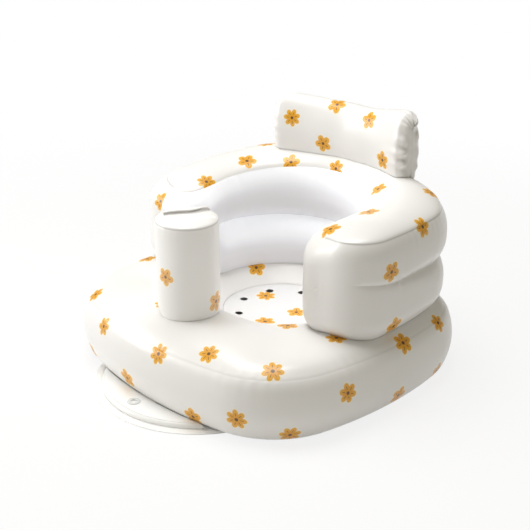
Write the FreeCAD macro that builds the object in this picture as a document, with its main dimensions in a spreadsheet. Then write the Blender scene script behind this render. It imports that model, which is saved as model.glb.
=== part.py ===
import FreeCAD, Part
import math
import os
import Sketcher
from FreeCAD import Placement, Rotation, Vector

doc = FreeCAD.newDocument("inflatable_chair")
sheet = doc.addObject("Spreadsheet::Sheet", "sizes")

values = [
    ("base_width", 600.0, "base ring across the arms"),
    ("base_depth", 560.0, "base ring from front to back"),
    ("base_height", 120.0, "base ring plateau above the ground"),
    ("base_belly_height", 57.0, "height of the widest line of the base ring"),
    ("front_crown_height", 134.0, "crown of the wide front part of the base ring"),
    ("base_seam_height", 108.0, "height of the weld between top panel and outer band"),
    ("base_seam_inset", 16.0, "that weld measured in from the widest line"),
    ("base_foot_inset", 36.0, "edge of the resting face measured in from the widest line"),
    ("base_side_radius", 700.0, "bow of the four sides in plan"),
    ("base_corner_radius", 163.0, "rounded corners in plan"),
    ("plateau_inset", 60.0, "start of the flat top measured in from the widest line"),
    ("well_centre_back", 38.0, "seat well centre behind the base centre"),
    ("well_top_radius", 158.0, "seat well at the plateau"),
    ("well_floor_radius", 104.0, "seat well at the floor film"),
    ("well_foot_radius", 146.0, "hollow under the floor film at the ground"),
    ("floor_height", 72.0, "floor film above the ground"),
    ("floor_film", 1.0, "floor film thickness"),
    ("drain_count", 8.0, "drain holes"),
    ("drain_radius", 7.0, "drain hole radius"),
    ("drain_circle", 78.0, "radius of the circle of drain holes"),
    ("drain_turn", 17.0, "turn of the ring of drain holes in degrees"),
    ("back_inset", 20.0, "backrest belly measured in from the widest line of the base"),
    ("back_inner_radius", 125.0, "inner round of the backrest at its belly"),
    ("arm_front_reach", 70.0, "arm ends in front of the base centre"),
    ("arm_outer_round", 68.0, "outer front corner of the arms"),
    ("arm_inner_round", 62.0, "inner front corner of the arms"),
    ("back_crease_height", 204.0, "crease between the two tubes"),
    ("back_crease_depth", 13.0, "crease measured in from the belly"),
    ("back_seam_height", 284.0, "weld of the top panel of the backrest"),
    ("back_seam_inset", 34.0, "that weld measured in from the belly at the arms"),
    ("back_seam_rear_inset", 12.0, "that weld measured in from the belly at the rear"),
    ("crown_arm_share", 0.465, "arm crest measured in from the outside, as a share of the arm"),
    ("crown_arm_inner_share", 0.361, "arm crest measured from the inside, as a share of the arm"),
    ("crown_rear_share", 0.618, "back crest measured in from the outside, as a share of the back"),
    ("crown_rear_inner_share", 0.33, "back crest measured from the inside, as a share of the back"),
    ("back_height", 303.0, "top of the backrest"),
    ("back_tilt", 7.0, "slope of the backrest's top, up to the rear, in degrees"),
    ("crease_start_back", 57.0, "crease start behind the arm ends"),
    ("pillow_half_length", 153.0, "pillow half length"),
    ("pillow_sag", 3.0, "pillow drawn in at its middle"),
    ("pillow_thickness", 66.0, "pillow front to back"),
    ("pillow_height", 109.0, "pillow top above the crest of the backrest"),
    ("pillow_foot", 19.0, "pillow foot below that crest, before it follows the backrest"),
    ("pillow_centre_back", 49.0, "pillow middle line in from the rear of the base"),
    ("pillow_sweep", 36.0, "pillow ends forward of its middle"),
    ("post_radius", 52.0, "post belly radius"),
    ("post_front", 108.0, "post centre in from the front of the base"),
    ("post_seam_height", 11.0, "crown of the post's round top panel above its weld"),
    ("post_height", 305.0, "post top above the ground"),
    ("seat_gap", 0.2, "gap between chambers that lie on one another"),
    ("pump_reach", 53.0, "pump pad in front of the base"),
    ("pump_round", 184.0, "front round of the pump pad"),
    ("pump_margin", 14.0, "weld margin around the pump pocket"),
    ("pump_film", 0.8, "pump film thickness"),
    ("pump_height", 10.0, "pump pocket above the ground"),
    ("pump_pocket_clear", 12.0, "pump pocket measured in from the widest line of the base"),
    ("pump_edge_share", 0.69, "pad rear edge, as a share of the way in to the resting face"),
    ("eyelet_radius", 11.0, "intake eyelet outer radius"),
    ("eyelet_bore", 5.0, "intake eyelet bore radius"),
    ("eyelet_height", 1.2, "intake eyelet above the pad"),
    ("eyelet_front", 13.0, "intake eyelet in front of the base"),
    ("flap_film", 0.6, "check flap thickness"),
    ("duct_width", 40.0, "outlet duct width"),
    ("duct_height", 4.5, "outlet duct height"),
    ("duct_wall", 0.7, "outlet duct wall"),
    ("duct_length", 27.0, "outlet duct length"),
    ("valve_depth", 34.0, "valve recess depth"),
    ("valve_recess_radius", 9.5, "valve recess radius"),
    ("flange_radius", 15.8, "valve flange radius"),
    ("flange_film", 1.3, "valve flange thickness"),
    ("stem_radius", 6.5, "valve stem radius"),
    ("stem_bore", 4.5, "valve stem bore radius"),
    ("stem_length", 20.0, "valve stem length"),
    ("stem_start", 11.0, "valve stem above the bottom of its recess"),
    ("collar_radius", 8.6, "stop collar radius"),
    ("plug_length", 8.0, "plug shank length"),
    ("plug_head", 2.0, "plug head thickness"),
    ("fit_gap", 0.05, "radial clearance of a plug in its bore"),
    ("slide_gap", 0.1, "clearance around a sliding stem"),
    ("back_valve_height", 46.0, "backrest valve above the crease"),
    ("pillow_valve_height", 57.0, "pillow valve above the crest of the backrest"),
]
for row, (alias, number, note) in enumerate(values, start=1):
    sheet.set("A%d" % row, note)
    sheet.set("B%d" % row, str(number))
    sheet.setAlias("B%d" % row, alias)
doc.recompute()


class Size:
    """A number from the sheet together with the expression that gives it."""

    def __init__(self, number, text):
        self.number = float(number)
        self.text = text

    def __float__(self):
        return self.number

    def __add__(self, other):
        return Size(self.number + float(other), "(%s + %s)" % (self.text, wording(other)))

    def __sub__(self, other):
        return Size(self.number - float(other), "(%s - %s)" % (self.text, wording(other)))

    def __rsub__(self, other):
        return Size(float(other) - self.number, "(%s - %s)" % (wording(other), self.text))

    def __mul__(self, other):
        return Size(self.number * float(other), "(%s * %s)" % (self.text, wording(other)))

    def __truediv__(self, other):
        return Size(self.number / float(other), "(%s / %s)" % (self.text, wording(other)))

    def __neg__(self):
        return Size(-self.number, "(0 - %s)" % self.text)

    __radd__ = __add__
    __rmul__ = __mul__


def wording(item):
    return item.text if isinstance(item, Size) else repr(float(item))


def size(alias):
    return Size(sheet.get(alias), "sizes." + alias)


def value(alias):
    return float(sheet.get(alias))


# The pad at the front makes the part longer, so the base stands back by half of that.
centre_back = size("pump_reach") / 2.0
pieces = []


def place(item, across, back, up, turn=None):
    """Sets a piece down at a point that is given from the base centre."""
    back = back + centre_back if isinstance(back, Size) else centre_back + back
    item.Placement = Placement(
        Vector(float(across), float(back), float(up)), turn or Rotation()
    )
    for axis, amount in (("x", across), ("y", back), ("z", up)):
        if isinstance(amount, Size):
            item.setExpression("Placement.Base." + axis, amount.text)


def keep(item):
    pieces.append(item)
    return item


def formed(name, shape):
    """A soft form whose shape is lofted from the sheet's sizes."""
    item = doc.addObject("Part::Feature", name)
    item.Label = name
    item.Shape = shape
    place(item, 0.0, 0.0, 0.0)
    return keep(item)


def arc(centre, radius, start, end, up):
    """An arc in a level plane, by its start and end angles in degrees."""
    points = []
    for angle in (start, (start + end) / 2.0, end):
        turn = math.radians(angle)
        points.append(
            Vector(
                centre[0] + radius * math.cos(turn),
                centre[1] + radius * math.sin(turn),
                up,
            )
        )
    return Part.Arc(*points).toShape()


def line(start, end, up):
    return Part.makeLine(Vector(start[0], start[1], up), Vector(end[0], end[1], up))


class Plan:
    """Rounded square of eight arcs that meet at a tangent."""

    def __init__(self, half_width, half_depth, side_radius, end_radius, corner_radius):
        self.side_radius = side_radius
        self.end_radius = end_radius
        self.corner_radius = corner_radius
        self.side = half_width - side_radius
        self.end = half_depth - end_radius
        span = math.hypot(self.side, self.end)
        near = side_radius - corner_radius
        far = end_radius - corner_radius
        along = (near * near - far * far + span * span) / (2.0 * span)
        rise = math.sqrt(near * near - along * along)
        step = (-self.side / span, self.end / span)
        meetings = [
            (
                along * step[1] + turn * step[0],
                self.side + along * step[0] - turn * step[1],
            )
            for turn in (rise, -rise)
        ]
        corner_y, corner_x = max(meetings)
        self.corner = (corner_x, corner_y)
        self.low = math.degrees(math.atan2(self.corner[1], self.corner[0] - self.side))
        self.high = math.degrees(math.atan2(self.corner[1] - self.end, self.corner[0]))

    def wire(self, inset, up):
        side = self.side_radius - inset
        end = self.end_radius - inset
        corner = self.corner_radius - inset
        x, y = self.corner
        low, high = self.low, self.high
        return Part.Wire(
            [
                arc((self.side, 0), side, -low, low, up),
                arc((x, y), corner, low, high, up),
                arc((0, self.end), end, high, 180 - high, up),
                arc((-x, y), corner, 180 - high, 180 - low, up),
                arc((-self.side, 0), side, 180 - low, 180 + low, up),
                arc((-x, -y), corner, 180 + low, 180 + high, up),
                arc((0, -self.end), end, 180 + high, 360 - high, up),
                arc((x, -y), corner, 360 - high, 360 - low, up),
            ]
        )


def ring(radius, up, back=0.0, front=0.0):
    centre = (0.0, back - front)
    return Part.Wire([arc(centre, radius, turn, turn + 90.0, up) for turn in (0, 90, 180, 270)])


def loft(wires):
    return Part.makeLoft(wires, True, False)


plan = Plan(
    value("base_width") / 2.0,
    value("base_depth") / 2.0,
    value("base_side_radius"),
    value("base_side_radius"),
    value("base_corner_radius"),
)

# Base ring: bulging outer band, crowned top and a round well through the middle.
top = value("base_height")
belly = value("base_belly_height")
seam = value("base_seam_height")
foot_inset = value("base_foot_inset")
seam_inset = value("base_seam_inset")
flat_inset = value("plateau_inset")
band = loft(
    [
        plan.wire(foot_inset * 1.55, belly * -0.06),
        plan.wire(foot_inset, 0.0),
        plan.wire(foot_inset * 0.47, belly * 0.10),
        plan.wire(foot_inset * 0.17, belly * 0.38),
        plan.wire(0.0, belly),
        plan.wire(seam_inset * 0.42, belly + (seam - belly) * 0.70),
        plan.wire(seam_inset, seam),
    ]
)
crown = loft(
    [
        plan.wire(seam_inset, seam),
        plan.wire(seam_inset + (flat_inset - seam_inset) * 0.32, seam + (top - seam) * 0.62),
        plan.wire(flat_inset, top),
    ]
)
floor = value("floor_height")
floor_film = value("floor_film")
well_back = value("well_centre_back")
well_top = value("well_top_radius")
well_floor = value("well_floor_radius")
well_foot = value("well_foot_radius")
slope = well_top - well_floor
rise = top - floor - floor_film
bowl = loft(
    [
        ring(well_floor, floor + floor_film, well_back),
        ring(well_floor + slope * 0.30, floor + floor_film + rise * 0.34, well_back),
        ring(well_floor + slope * 0.64, floor + floor_film + rise * 0.72, well_back),
        ring(well_top, top, well_back),
        ring(well_top + slope * 0.72, top + rise * 0.45, well_back),
    ]
)
land = Part.makeCylinder(well_floor, floor_film, Vector(0, well_back, floor))
hollow = loft(
    [
        ring(well_foot, 0.0, well_back),
        ring(well_floor + (well_foot - well_floor) * 0.34, floor * 0.22, well_back),
        ring(well_floor, floor, well_back),
    ]
)
post_front = value("base_depth") / 2.0 - value("post_front")
front_top = value("front_crown_height")
front_deep = value("post_front") - seam_inset


def swell_wire(share, up):
    wide = front_deep * 1.75 * share
    deep = front_deep * 0.90 * share
    round_off = deep * 0.80
    x = wide - round_off
    y = deep - round_off
    outline = Part.Wire(
        [
            line((wide, -y), (wide, y), up),
            arc((x, y), round_off, 0, 90, up),
            line((x, deep), (-x, deep), up),
            arc((-x, y), round_off, 90, 180, up),
            line((-wide, y), (-wide, -y), up),
            arc((-x, -y), round_off, 180, 270, up),
            line((-x, -deep), (x, -deep), up),
            arc((x, -y), round_off, 270, 360, up),
        ]
    )
    outline.translate(Vector(0, -post_front, 0))
    return outline


swell = loft(
    [
        swell_wire(1.00, seam + (front_top - seam) * 0.08),
        swell_wire(0.90, seam + (front_top - seam) * 0.50),
        swell_wire(0.76, seam + (front_top - seam) * 0.82),
        swell_wire(0.60, front_top),
    ]
)
under = Part.makeBox(
    value("base_width"),
    value("base_depth"),
    belly,
    Vector(-value("base_width") / 2.0, -value("base_depth") / 2.0, -belly),
)
base_form = band.fuse([crown, swell]).cut(bowl.fuse([land, hollow])).cut(under)

# Backrest: one outline for all levels, drawn in or let out in parallel.
back_inset = value("back_inset")
inner_radius = value("back_inner_radius")
arm_front = -value("arm_front_reach")
half_width = value("base_width") / 2.0
half_depth = value("base_depth") / 2.0
arm_wall = half_width - back_inset - inner_radius
rear_wall = half_depth - back_inset - well_back - inner_radius
outer_round = min(value("arm_outer_round"), arm_wall * 0.45)
inner_round = min(value("arm_inner_round"), arm_wall * 0.41)
side_bow = value("base_side_radius")
corner_round = value("base_corner_radius")
outer_y = arm_front + outer_round
inner_x = inner_radius + inner_round
inner_y = arm_front + inner_round
tilt_back = (half_depth - back_inset + arm_front) / 2.0


def back_wire(inset, up, tilt=0.0, inner=None, rear=None, rear_inner=None):
    """U outline, drawn in by one amount or by its own at arms, back and inner side."""
    inner = inset if inner is None else inner
    rear = inset if rear is None else rear
    rear_inner = inner if rear_inner is None else rear_inner
    side = back_inset + inset
    end = back_inset + rear
    outer = Plan(
        half_width - side,
        half_depth - end,
        side_bow - side,
        side_bow - end,
        corner_round - (side + end) / 2.0,
    )
    x, y = outer.corner
    low, high = outer.low, outer.high
    hole = inner_radius + inner
    hole_back = well_back - inner + rear_inner
    outer_arc = max(outer_round - inset, outer_round * 0.06)
    inner_arc = max(inner_round - inner, inner_round * 0.06)
    outer_x = outer.side + math.sqrt((outer.side_radius - outer_arc) ** 2 - outer_y**2)
    outer_turn = math.degrees(math.atan2(outer_y, outer_x - outer.side))
    start_x = hole + inner_arc
    # The arm's end is the common tangent of its two front corners.
    gap = math.hypot(outer_x - start_x, outer_y - inner_y)
    lean = math.degrees(math.atan2(outer_y - inner_y, outer_x - start_x))
    face = lean - math.degrees(math.acos((inner_arc - outer_arc) / gap))
    turn = math.radians(face)
    outer_end = (outer_x + outer_arc * math.cos(turn), outer_y + outer_arc * math.sin(turn))
    inner_end = (start_x + inner_arc * math.cos(turn), inner_y + inner_arc * math.sin(turn))
    outline = Part.Wire(
        [
            arc((outer.side, 0), outer.side_radius, outer_turn, low, up),
            arc((x, y), outer.corner_radius, low, high, up),
            arc((0, outer.end), outer.end_radius, high, 180 - high, up),
            arc((-x, y), outer.corner_radius, 180 - high, 180 - low, up),
            arc((-outer.side, 0), outer.side_radius, 180 - low, 180 - outer_turn, up),
            arc((-outer_x, outer_y), outer_arc, 180 - outer_turn, 180 - face, up),
            line((-outer_end[0], outer_end[1]), (-inner_end[0], inner_end[1]), up),
            arc((-start_x, inner_y), inner_arc, 180 - face, 360, up),
            line((-hole, inner_y), (-hole, hole_back), up),
            arc((0, hole_back), hole, 180, 90, up),
            arc((0, hole_back), hole, 90, 0, up),
            line((hole, hole_back), (hole, inner_y), up),
            arc((start_x, inner_y), inner_arc, 180, 360 + face, up),
            line(inner_end, outer_end, up),
            arc((outer_x, outer_y), outer_arc, face, outer_turn, up),
        ]
    )
    outline.rotate(Vector(0, tilt_back, up), Vector(1, 0, 0), tilt)
    return outline


crease = value("back_crease_height")
tilt = value("back_tilt")
seam_draw = value("back_seam_inset")
seam_rear = value("back_seam_rear_inset")
crown_arm = arm_wall * value("crown_arm_share")
crown_arm_inner = arm_wall * value("crown_arm_inner_share")
crown_rear = rear_wall * value("crown_rear_share")
crown_rear_inner = rear_wall * value("crown_rear_inner_share")
crease_depth = value("back_crease_depth")
back_seam = value("back_seam_height")
back_top = value("back_height")
foot = top - 24.0
lower_mid = (top + crease) / 2.0
upper_mid = (crease + back_seam) / 2.0
lower_tube = loft(
    [
        back_wire(crease_depth * 1.3, foot),
        back_wire(crease_depth * 0.5, foot + (lower_mid - foot) * 0.42),
        back_wire(0.0, lower_mid),
        back_wire(crease_depth * 0.32, lower_mid + (crease - lower_mid) * 0.66),
        back_wire(crease_depth, crease),
    ]
)
upper_tube = loft(
    [
        back_wire(crease_depth, crease),
        back_wire(crease_depth * 0.32, crease + (upper_mid - crease) * 0.34, tilt * 0.17),
        back_wire(0.0, upper_mid, tilt * 0.5),
        back_wire(
            seam_draw * 0.30,
            upper_mid + (back_seam - upper_mid) * 0.62,
            tilt * 0.8,
            seam_draw * 0.18,
            seam_rear * 0.30,
        ),
        back_wire(seam_draw, back_seam, tilt, seam_draw * 0.6, seam_rear),
    ]
)
crown_rise = back_top - back_seam


def crown_wire(share, lift):
    rim = seam_draw * 0.6
    return back_wire(
        seam_draw + (crown_arm - seam_draw) * share,
        back_seam + crown_rise * lift,
        tilt,
        rim + (crown_arm_inner - rim) * share,
        seam_rear + (crown_rear - seam_rear) * share,
        rim + (crown_rear_inner - rim) * share,
    )


back_crown = loft(
    [
        crown_wire(0.0, 0.0),
        crown_wire(0.34, 0.47),
        crown_wire(0.70, 0.86),
        crown_wire(1.0, 1.0),
    ]
)
# The arm ends are smooth outside: the crease starts some way behind them.
bridge = Part.makeLoft(
    [back_wire(0.0, lower_mid), back_wire(0.0, upper_mid, tilt * 0.5)], True, True
)
crease_start = arm_front + value("crease_start_back")
arm_inner = inner_x
reach = half_width - arm_inner
ends = Part.makeCompound(
    [
        Part.makeBox(
            reach,
            crease_start - arm_front + 5.0,
            back_top,
            Vector(start, arm_front - 5.0, 0.0),
        )
        for start in (arm_inner, -half_width)
    ]
)
seat_gap = value("seat_gap")
lifted_base = base_form.copy()
lifted_base.translate(Vector(0, 0, seat_gap))
back_form = lower_tube.fuse([upper_tube, back_crown, bridge.common(ends)]).cut(lifted_base)

# Head pillow: upright rounded sections set along a line that bows to the rear.
pillow_half = value("pillow_half_length")
pillow_deep = value("pillow_thickness")
pillow_top = back_top + value("pillow_height")
pillow_foot = back_top - value("pillow_foot")
pillow_mid = half_depth - value("pillow_centre_back")
pillow_sweep = value("pillow_sweep")
pillow_sag = value("pillow_sag")
pillow_tall = pillow_top - pillow_foot
pillow_plan = Plan(
    pillow_deep / 2.0,
    pillow_tall / 2.0,
    pillow_tall * 1.4,
    pillow_deep * 0.8,
    pillow_deep * 0.36,
)


def pillow_wire(share, inset):
    section = pillow_plan.wire(inset, 0.0)
    back = pillow_mid - pillow_sweep * share * share
    upright = Rotation(Vector(0, 1, 0), Vector(0, 0, 1), Vector(1, 0, 0), "ZXY")
    section.Placement = Placement(
        Vector(pillow_half * share, back, (pillow_top + pillow_foot) / 2.0), upright
    )
    return section


pillow_form = loft(
    [
        pillow_wire(-1.0, pillow_deep * 0.24),
        pillow_wire(-0.95, pillow_deep * 0.07),
        pillow_wire(-0.80, 0.0),
        pillow_wire(-0.40, pillow_sag * 0.5),
        pillow_wire(0.0, pillow_sag),
        pillow_wire(0.40, pillow_sag * 0.5),
        pillow_wire(0.80, 0.0),
        pillow_wire(0.95, pillow_deep * 0.07),
        pillow_wire(1.0, pillow_deep * 0.24),
    ]
)
lifted_back = back_form.copy()
lifted_back.translate(Vector(0, 0, seat_gap))
pillow_form = pillow_form.cut(lifted_back)

# Front post with its round top panel.
post_radius = value("post_radius")
post_top = value("post_height")
post_seam = post_top - value("post_seam_height")
post_tall = post_seam - front_top
post_form = loft(
    [
        ring(post_radius * 0.95, front_top, 0.0, post_front),
        ring(post_radius, front_top + post_tall * 0.30, 0.0, post_front),
        ring(post_radius, front_top + post_tall * 0.75, 0.0, post_front),
        ring(post_radius * 0.97, post_seam, 0.0, post_front),
    ]
)
cap_form = loft(
    [
        ring(post_radius * 0.96, post_seam, 0.0, post_front),
        ring(post_radius * 0.85, post_seam + (post_top - post_seam) * 0.55, 0.0, post_front),
        ring(post_radius * 0.45, post_top, 0.0, post_front),
    ]
)

# Recesses for the three valves, and the mouth of the pump duct in the base.
depth = value("valve_depth")
recess_radius = value("valve_recess_radius")
flange_radius = value("flange_radius")
flange_film = value("flange_film")
slide_gap = value("slide_gap")


def recess(back, up):
    along = Vector(0, 1, 0)
    bore = Part.makeCylinder(recess_radius, depth + 20.0, Vector(0, back - depth, up), along)
    ledge = Part.makeCylinder(
        flange_radius + slide_gap, 20.0, Vector(0, back - flange_film - 0.3, up), along
    )
    return bore.fuse(ledge)


base_rear = value("base_depth") / 2.0
back_rear = base_rear - back_inset
pillow_rear = pillow_mid + pillow_deep / 2.0 - pillow_sag
duct_wide = value("duct_width")
duct_tall = value("duct_height")
duct_long = value("duct_length")
pump_film = value("pump_film")
pocket_rear = -base_rear + value("pump_pocket_clear")
duct_gap = 0.3
duct_mouth = Part.makeBox(
    duct_wide + 2.0 * duct_gap,
    duct_long + 45.0,
    duct_tall + 2.0 * duct_gap,
    Vector(-duct_wide / 2.0 - duct_gap, pocket_rear - 30.0, 2.0 * pump_film - duct_gap),
)
base_form = base_form.cut(recess(base_rear, belly).fuse(duct_mouth))
back_form = back_form.cut(recess(back_rear, crease + value("back_valve_height")))
pillow_form = pillow_form.cut(recess(pillow_rear, back_top + value("pillow_valve_height")))

formed("base_ring", base_form)
formed("backrest", back_form)
formed("head_pillow", pillow_form)
formed("front_post", post_form)
formed("post_top", cap_form)


def plane_of(body, role):
    return [item for item in body.Origin.OriginFeatures if item.Role == role][0]


def new_sketch(body, name, role):
    sketch = body.newObject("Sketcher::SketchObject", name)
    sketch.AttachmentSupport = [(plane_of(body, role), "")]
    sketch.MapMode = "FlatFace"
    return sketch


def bind(sketch, name, kind, *details):
    """Adds a dimension that follows its own expression."""
    amount = details[-1]
    index = sketch.addConstraint(Sketcher.Constraint(kind, *details[:-1], float(amount)))
    if isinstance(amount, Size):
        sketch.renameConstraint(index, name)
        sketch.setExpression("Constraints." + name, amount.text)


def new_body(name):
    body = doc.addObject("PartDesign::Body", name)
    body.Label = name
    return body


def turned(name, corners):
    """A turned piece: its half section is a closed outline of radius and height pairs."""
    body = new_body(name)
    sketch = new_sketch(body, name + "_section", "XZ_Plane")
    points = [Vector(float(radius), float(up), 0) for radius, up in corners]
    count = len(points)
    for index in range(count):
        sketch.addGeometry(
            Part.LineSegment(points[index], points[(index + 1) % count]), False
        )
    for index in range(count):
        follow = (index + 1) % count
        sketch.addConstraint(Sketcher.Constraint("Coincident", index, 2, follow, 1))
    for index, (radius, up) in enumerate(corners):
        if float(radius) == 0.0:
            sketch.addConstraint(Sketcher.Constraint("PointOnObject", index, 1, -2))
        else:
            bind(sketch, "radius_%d" % index, "DistanceX", -1, 1, index, 1, radius)
        if float(up) == 0.0:
            sketch.addConstraint(Sketcher.Constraint("PointOnObject", index, 1, -1))
        else:
            bind(sketch, "level_%d" % index, "DistanceY", -1, 1, index, 1, up)
    turn = body.newObject("PartDesign::Revolution", name + "_turn")
    turn.Profile = sketch
    turn.ReferenceAxis = (sketch, ["V_Axis"])
    turn.Angle = 360.0
    sketch.Visibility = False
    return keep(body)


def circle(sketch, tag, radius, ahead=None):
    """A circle on the sketch's centre, or straight ahead of it."""
    centre = Vector(0, float(ahead) if ahead is not None else 0, 0)
    index = sketch.addGeometry(Part.Circle(centre, Vector(0, 0, 1), float(radius)), False)
    if ahead is None:
        sketch.addConstraint(Sketcher.Constraint("Coincident", index, 3, -1, 1))
    else:
        sketch.addConstraint(Sketcher.Constraint("PointOnObject", index, 3, -2))
        bind(sketch, tag + "_offset", "DistanceY", index, 3, -1, 1, -ahead)
    bind(sketch, tag + "_radius", "Radius", index, radius)


def crescent(sketch, tag, front_radius, rear_radius, rear_centre):
    """A pad outline: a round front edge and a rear edge that follows the base."""
    near, far, gap = float(front_radius), float(rear_radius), float(rear_centre)
    meet_y = (near * near - far * far + gap * gap) / (2.0 * gap)
    meet_x = math.sqrt(near * near - meet_y * meet_y)
    up = Vector(0, 0, 1)
    start = math.atan2(meet_y, -meet_x)
    end = math.atan2(meet_y, meet_x)
    front = sketch.addGeometry(
        Part.ArcOfCircle(Part.Circle(Vector(), up, near), start, end), False
    )
    start = math.atan2(meet_y - gap, -meet_x)
    end = math.atan2(meet_y - gap, meet_x)
    rear = sketch.addGeometry(
        Part.ArcOfCircle(Part.Circle(Vector(0, gap, 0), up, far), start, end), False
    )
    sketch.addConstraint(Sketcher.Constraint("Coincident", front, 3, -1, 1))
    sketch.addConstraint(Sketcher.Constraint("PointOnObject", rear, 3, -2))
    bind(sketch, tag + "_rear_centre", "DistanceY", -1, 1, rear, 3, rear_centre)
    bind(sketch, tag + "_front", "Radius", front, front_radius)
    bind(sketch, tag + "_rear", "Radius", rear, rear_radius)
    sketch.addConstraint(Sketcher.Constraint("Coincident", front, 1, rear, 1))
    sketch.addConstraint(Sketcher.Constraint("Coincident", front, 2, rear, 2))


def slab(name, draw, thickness):
    """A flat piece: an outline drawn on the ground plane and given a thickness."""
    body = new_body(name)
    sketch = new_sketch(body, name + "_outline", "XY_Plane")
    draw(sketch)
    pad = body.newObject("PartDesign::Pad", name + "_pad")
    pad.Profile = sketch
    if isinstance(thickness, Size):
        pad.setExpression("Length", thickness.text)
    pad.Length = float(thickness)
    sketch.Visibility = False
    return keep(body)


# Floor film of the seat well with its ring of drain holes.
floor_body = slab(
    "seat_floor",
    lambda sketch: circle(sketch, "edge", size("well_floor_radius") - size("slide_gap")),
    size("floor_film"),
)
drain_sketch = new_sketch(floor_body, "drain_outline", "XY_Plane")
circle(drain_sketch, "drain", size("drain_radius"), -size("drain_circle"))
drain = floor_body.newObject("PartDesign::Pocket", "drain_hole")
drain.Profile = drain_sketch
drain.Type = 1
drain.Midplane = True
drain_sketch.Visibility = False
doc.recompute()
drains = floor_body.newObject("PartDesign::PolarPattern", "drain_ring")
drains.Originals = [drain]
drains.Axis = (drain_sketch, ["N_Axis"])
drains.Angle = 360.0
drains.setExpression("Occurrences", size("drain_count").text)
floor_body.Tip = drains
drain_turn = Rotation(Vector(0, 0, 1), value("drain_turn"))
place(floor_body, 0.0, size("well_centre_back"), size("floor_height"), drain_turn)

# Pump pad: two films welded around a foam core.
pad_centre = -(size("base_depth") / 2.0) - size("pump_reach") + size("pump_round")
bow_centre = size("base_side_radius") - size("base_depth") / 2.0
pad_gap = bow_centre - pad_centre
edge_rear = size("base_side_radius") - size("base_foot_inset") * size("pump_edge_share")
pocket_rear_arc = size("base_side_radius") - size("pump_pocket_clear")
pocket_round = size("pump_round") - size("pump_margin")
film = size("pump_film")
eyelet_back = -(size("base_depth") / 2.0) - size("eyelet_front")
eyelet_ahead = eyelet_back - pad_centre


def pad_outline(sketch):
    crescent(sketch, "edge", size("pump_round"), edge_rear, pad_gap)


def margin_outline(sketch):
    pad_outline(sketch)
    crescent(sketch, "pocket", pocket_round, pocket_rear_arc, pad_gap)


def skirt_outline(sketch):
    crescent(sketch, "outer", pocket_round, pocket_rear_arc, pad_gap)
    crescent(sketch, "inner", pocket_round - film, pocket_rear_arc + film, pad_gap)


def press_outline(sketch):
    crescent(sketch, "outer", pocket_round, pocket_rear_arc, pad_gap)
    circle(sketch, "intake", size("eyelet_bore"), eyelet_ahead)


def foam_outline(sketch):
    crescent(sketch, "outer", pocket_round - film * 2.0, pocket_rear_arc + film * 2.0, pad_gap)
    circle(sketch, "intake", size("eyelet_radius") - size("slide_gap"), eyelet_ahead)


place(slab("pump_bottom_film", pad_outline, film), 0.0, pad_centre, 0.0)
place(slab("pump_weld_margin", margin_outline, film), 0.0, pad_centre, film)
place(
    slab("pump_skirt", skirt_outline, size("pump_height") - film * 2.0),
    0.0,
    pad_centre,
    film,
)
place(
    slab("pump_press_pad", press_outline, film),
    0.0,
    pad_centre,
    size("pump_height") - film,
)
place(
    slab("pump_foam_core", foam_outline, size("pump_height") - film * 2.0 - size("slide_gap")),
    0.0,
    pad_centre,
    film,
)
eyelet = turned(
    "pump_intake_eyelet",
    [
        (size("eyelet_bore"), 0.0),
        (size("eyelet_radius"), 0.0),
        (size("eyelet_radius") * 0.93, size("eyelet_height")),
        (size("eyelet_bore"), size("eyelet_height")),
    ],
)
place(eyelet, 0.0, eyelet_back, size("pump_height"))
intake_flap = slab(
    "pump_intake_flap",
    lambda sketch: circle(sketch, "edge", size("eyelet_bore") + 2.0),
    size("flap_film"),
)
place(
    intake_flap,
    0.0,
    eyelet_back,
    size("pump_height") - film - size("flap_film") - size("slide_gap"),
)


def block(name, wide, deep, tall):
    item = doc.addObject("Part::Box", name)
    for prop, amount in (("Length", wide), ("Width", deep), ("Height", tall)):
        setattr(item, prop, float(amount))
        if isinstance(amount, Size):
            item.setExpression(prop, amount.text)
    return item


duct_front = -(size("base_depth") / 2.0) + size("pump_pocket_clear") + 0.5
duct_outer = block("duct_outer", size("duct_width"), size("duct_length"), size("duct_height"))
duct_inner = block(
    "duct_inner",
    size("duct_width") - size("duct_wall") * 2.0,
    size("duct_length") + 2.0,
    size("duct_height") - size("duct_wall") * 2.0,
)
place(duct_outer, -(size("duct_width") / 2.0), duct_front, film * 2.0)
place(
    duct_inner,
    -(size("duct_width") / 2.0) + size("duct_wall"),
    duct_front - 1.0,
    film * 2.0 + size("duct_wall"),
)
duct = doc.addObject("Part::Cut", "pump_outlet_duct")
duct.Label = "pump_outlet_duct"
duct.Base = duct_outer
duct.Tool = duct_inner
keep(duct)
outlet_flap = block(
    "pump_outlet_flap",
    size("duct_width") - size("duct_wall") * 2.0,
    size("flap_film"),
    size("duct_height") - size("duct_wall"),
)
outlet_flap.Label = "pump_outlet_flap"
place(
    outlet_flap,
    -(size("duct_width") / 2.0) + size("duct_wall"),
    duct_front + size("duct_length") + size("slide_gap"),
    film * 2.0 + size("duct_wall") / 2.0,
)
keep(outlet_flap)

# Valves: flange, sliding stem, plug and check flap, on an axis that points to the rear.
rearward = Rotation(Vector(1, 0, 0), -90)
stem_top = size("stem_start") + size("stem_length")


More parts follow.
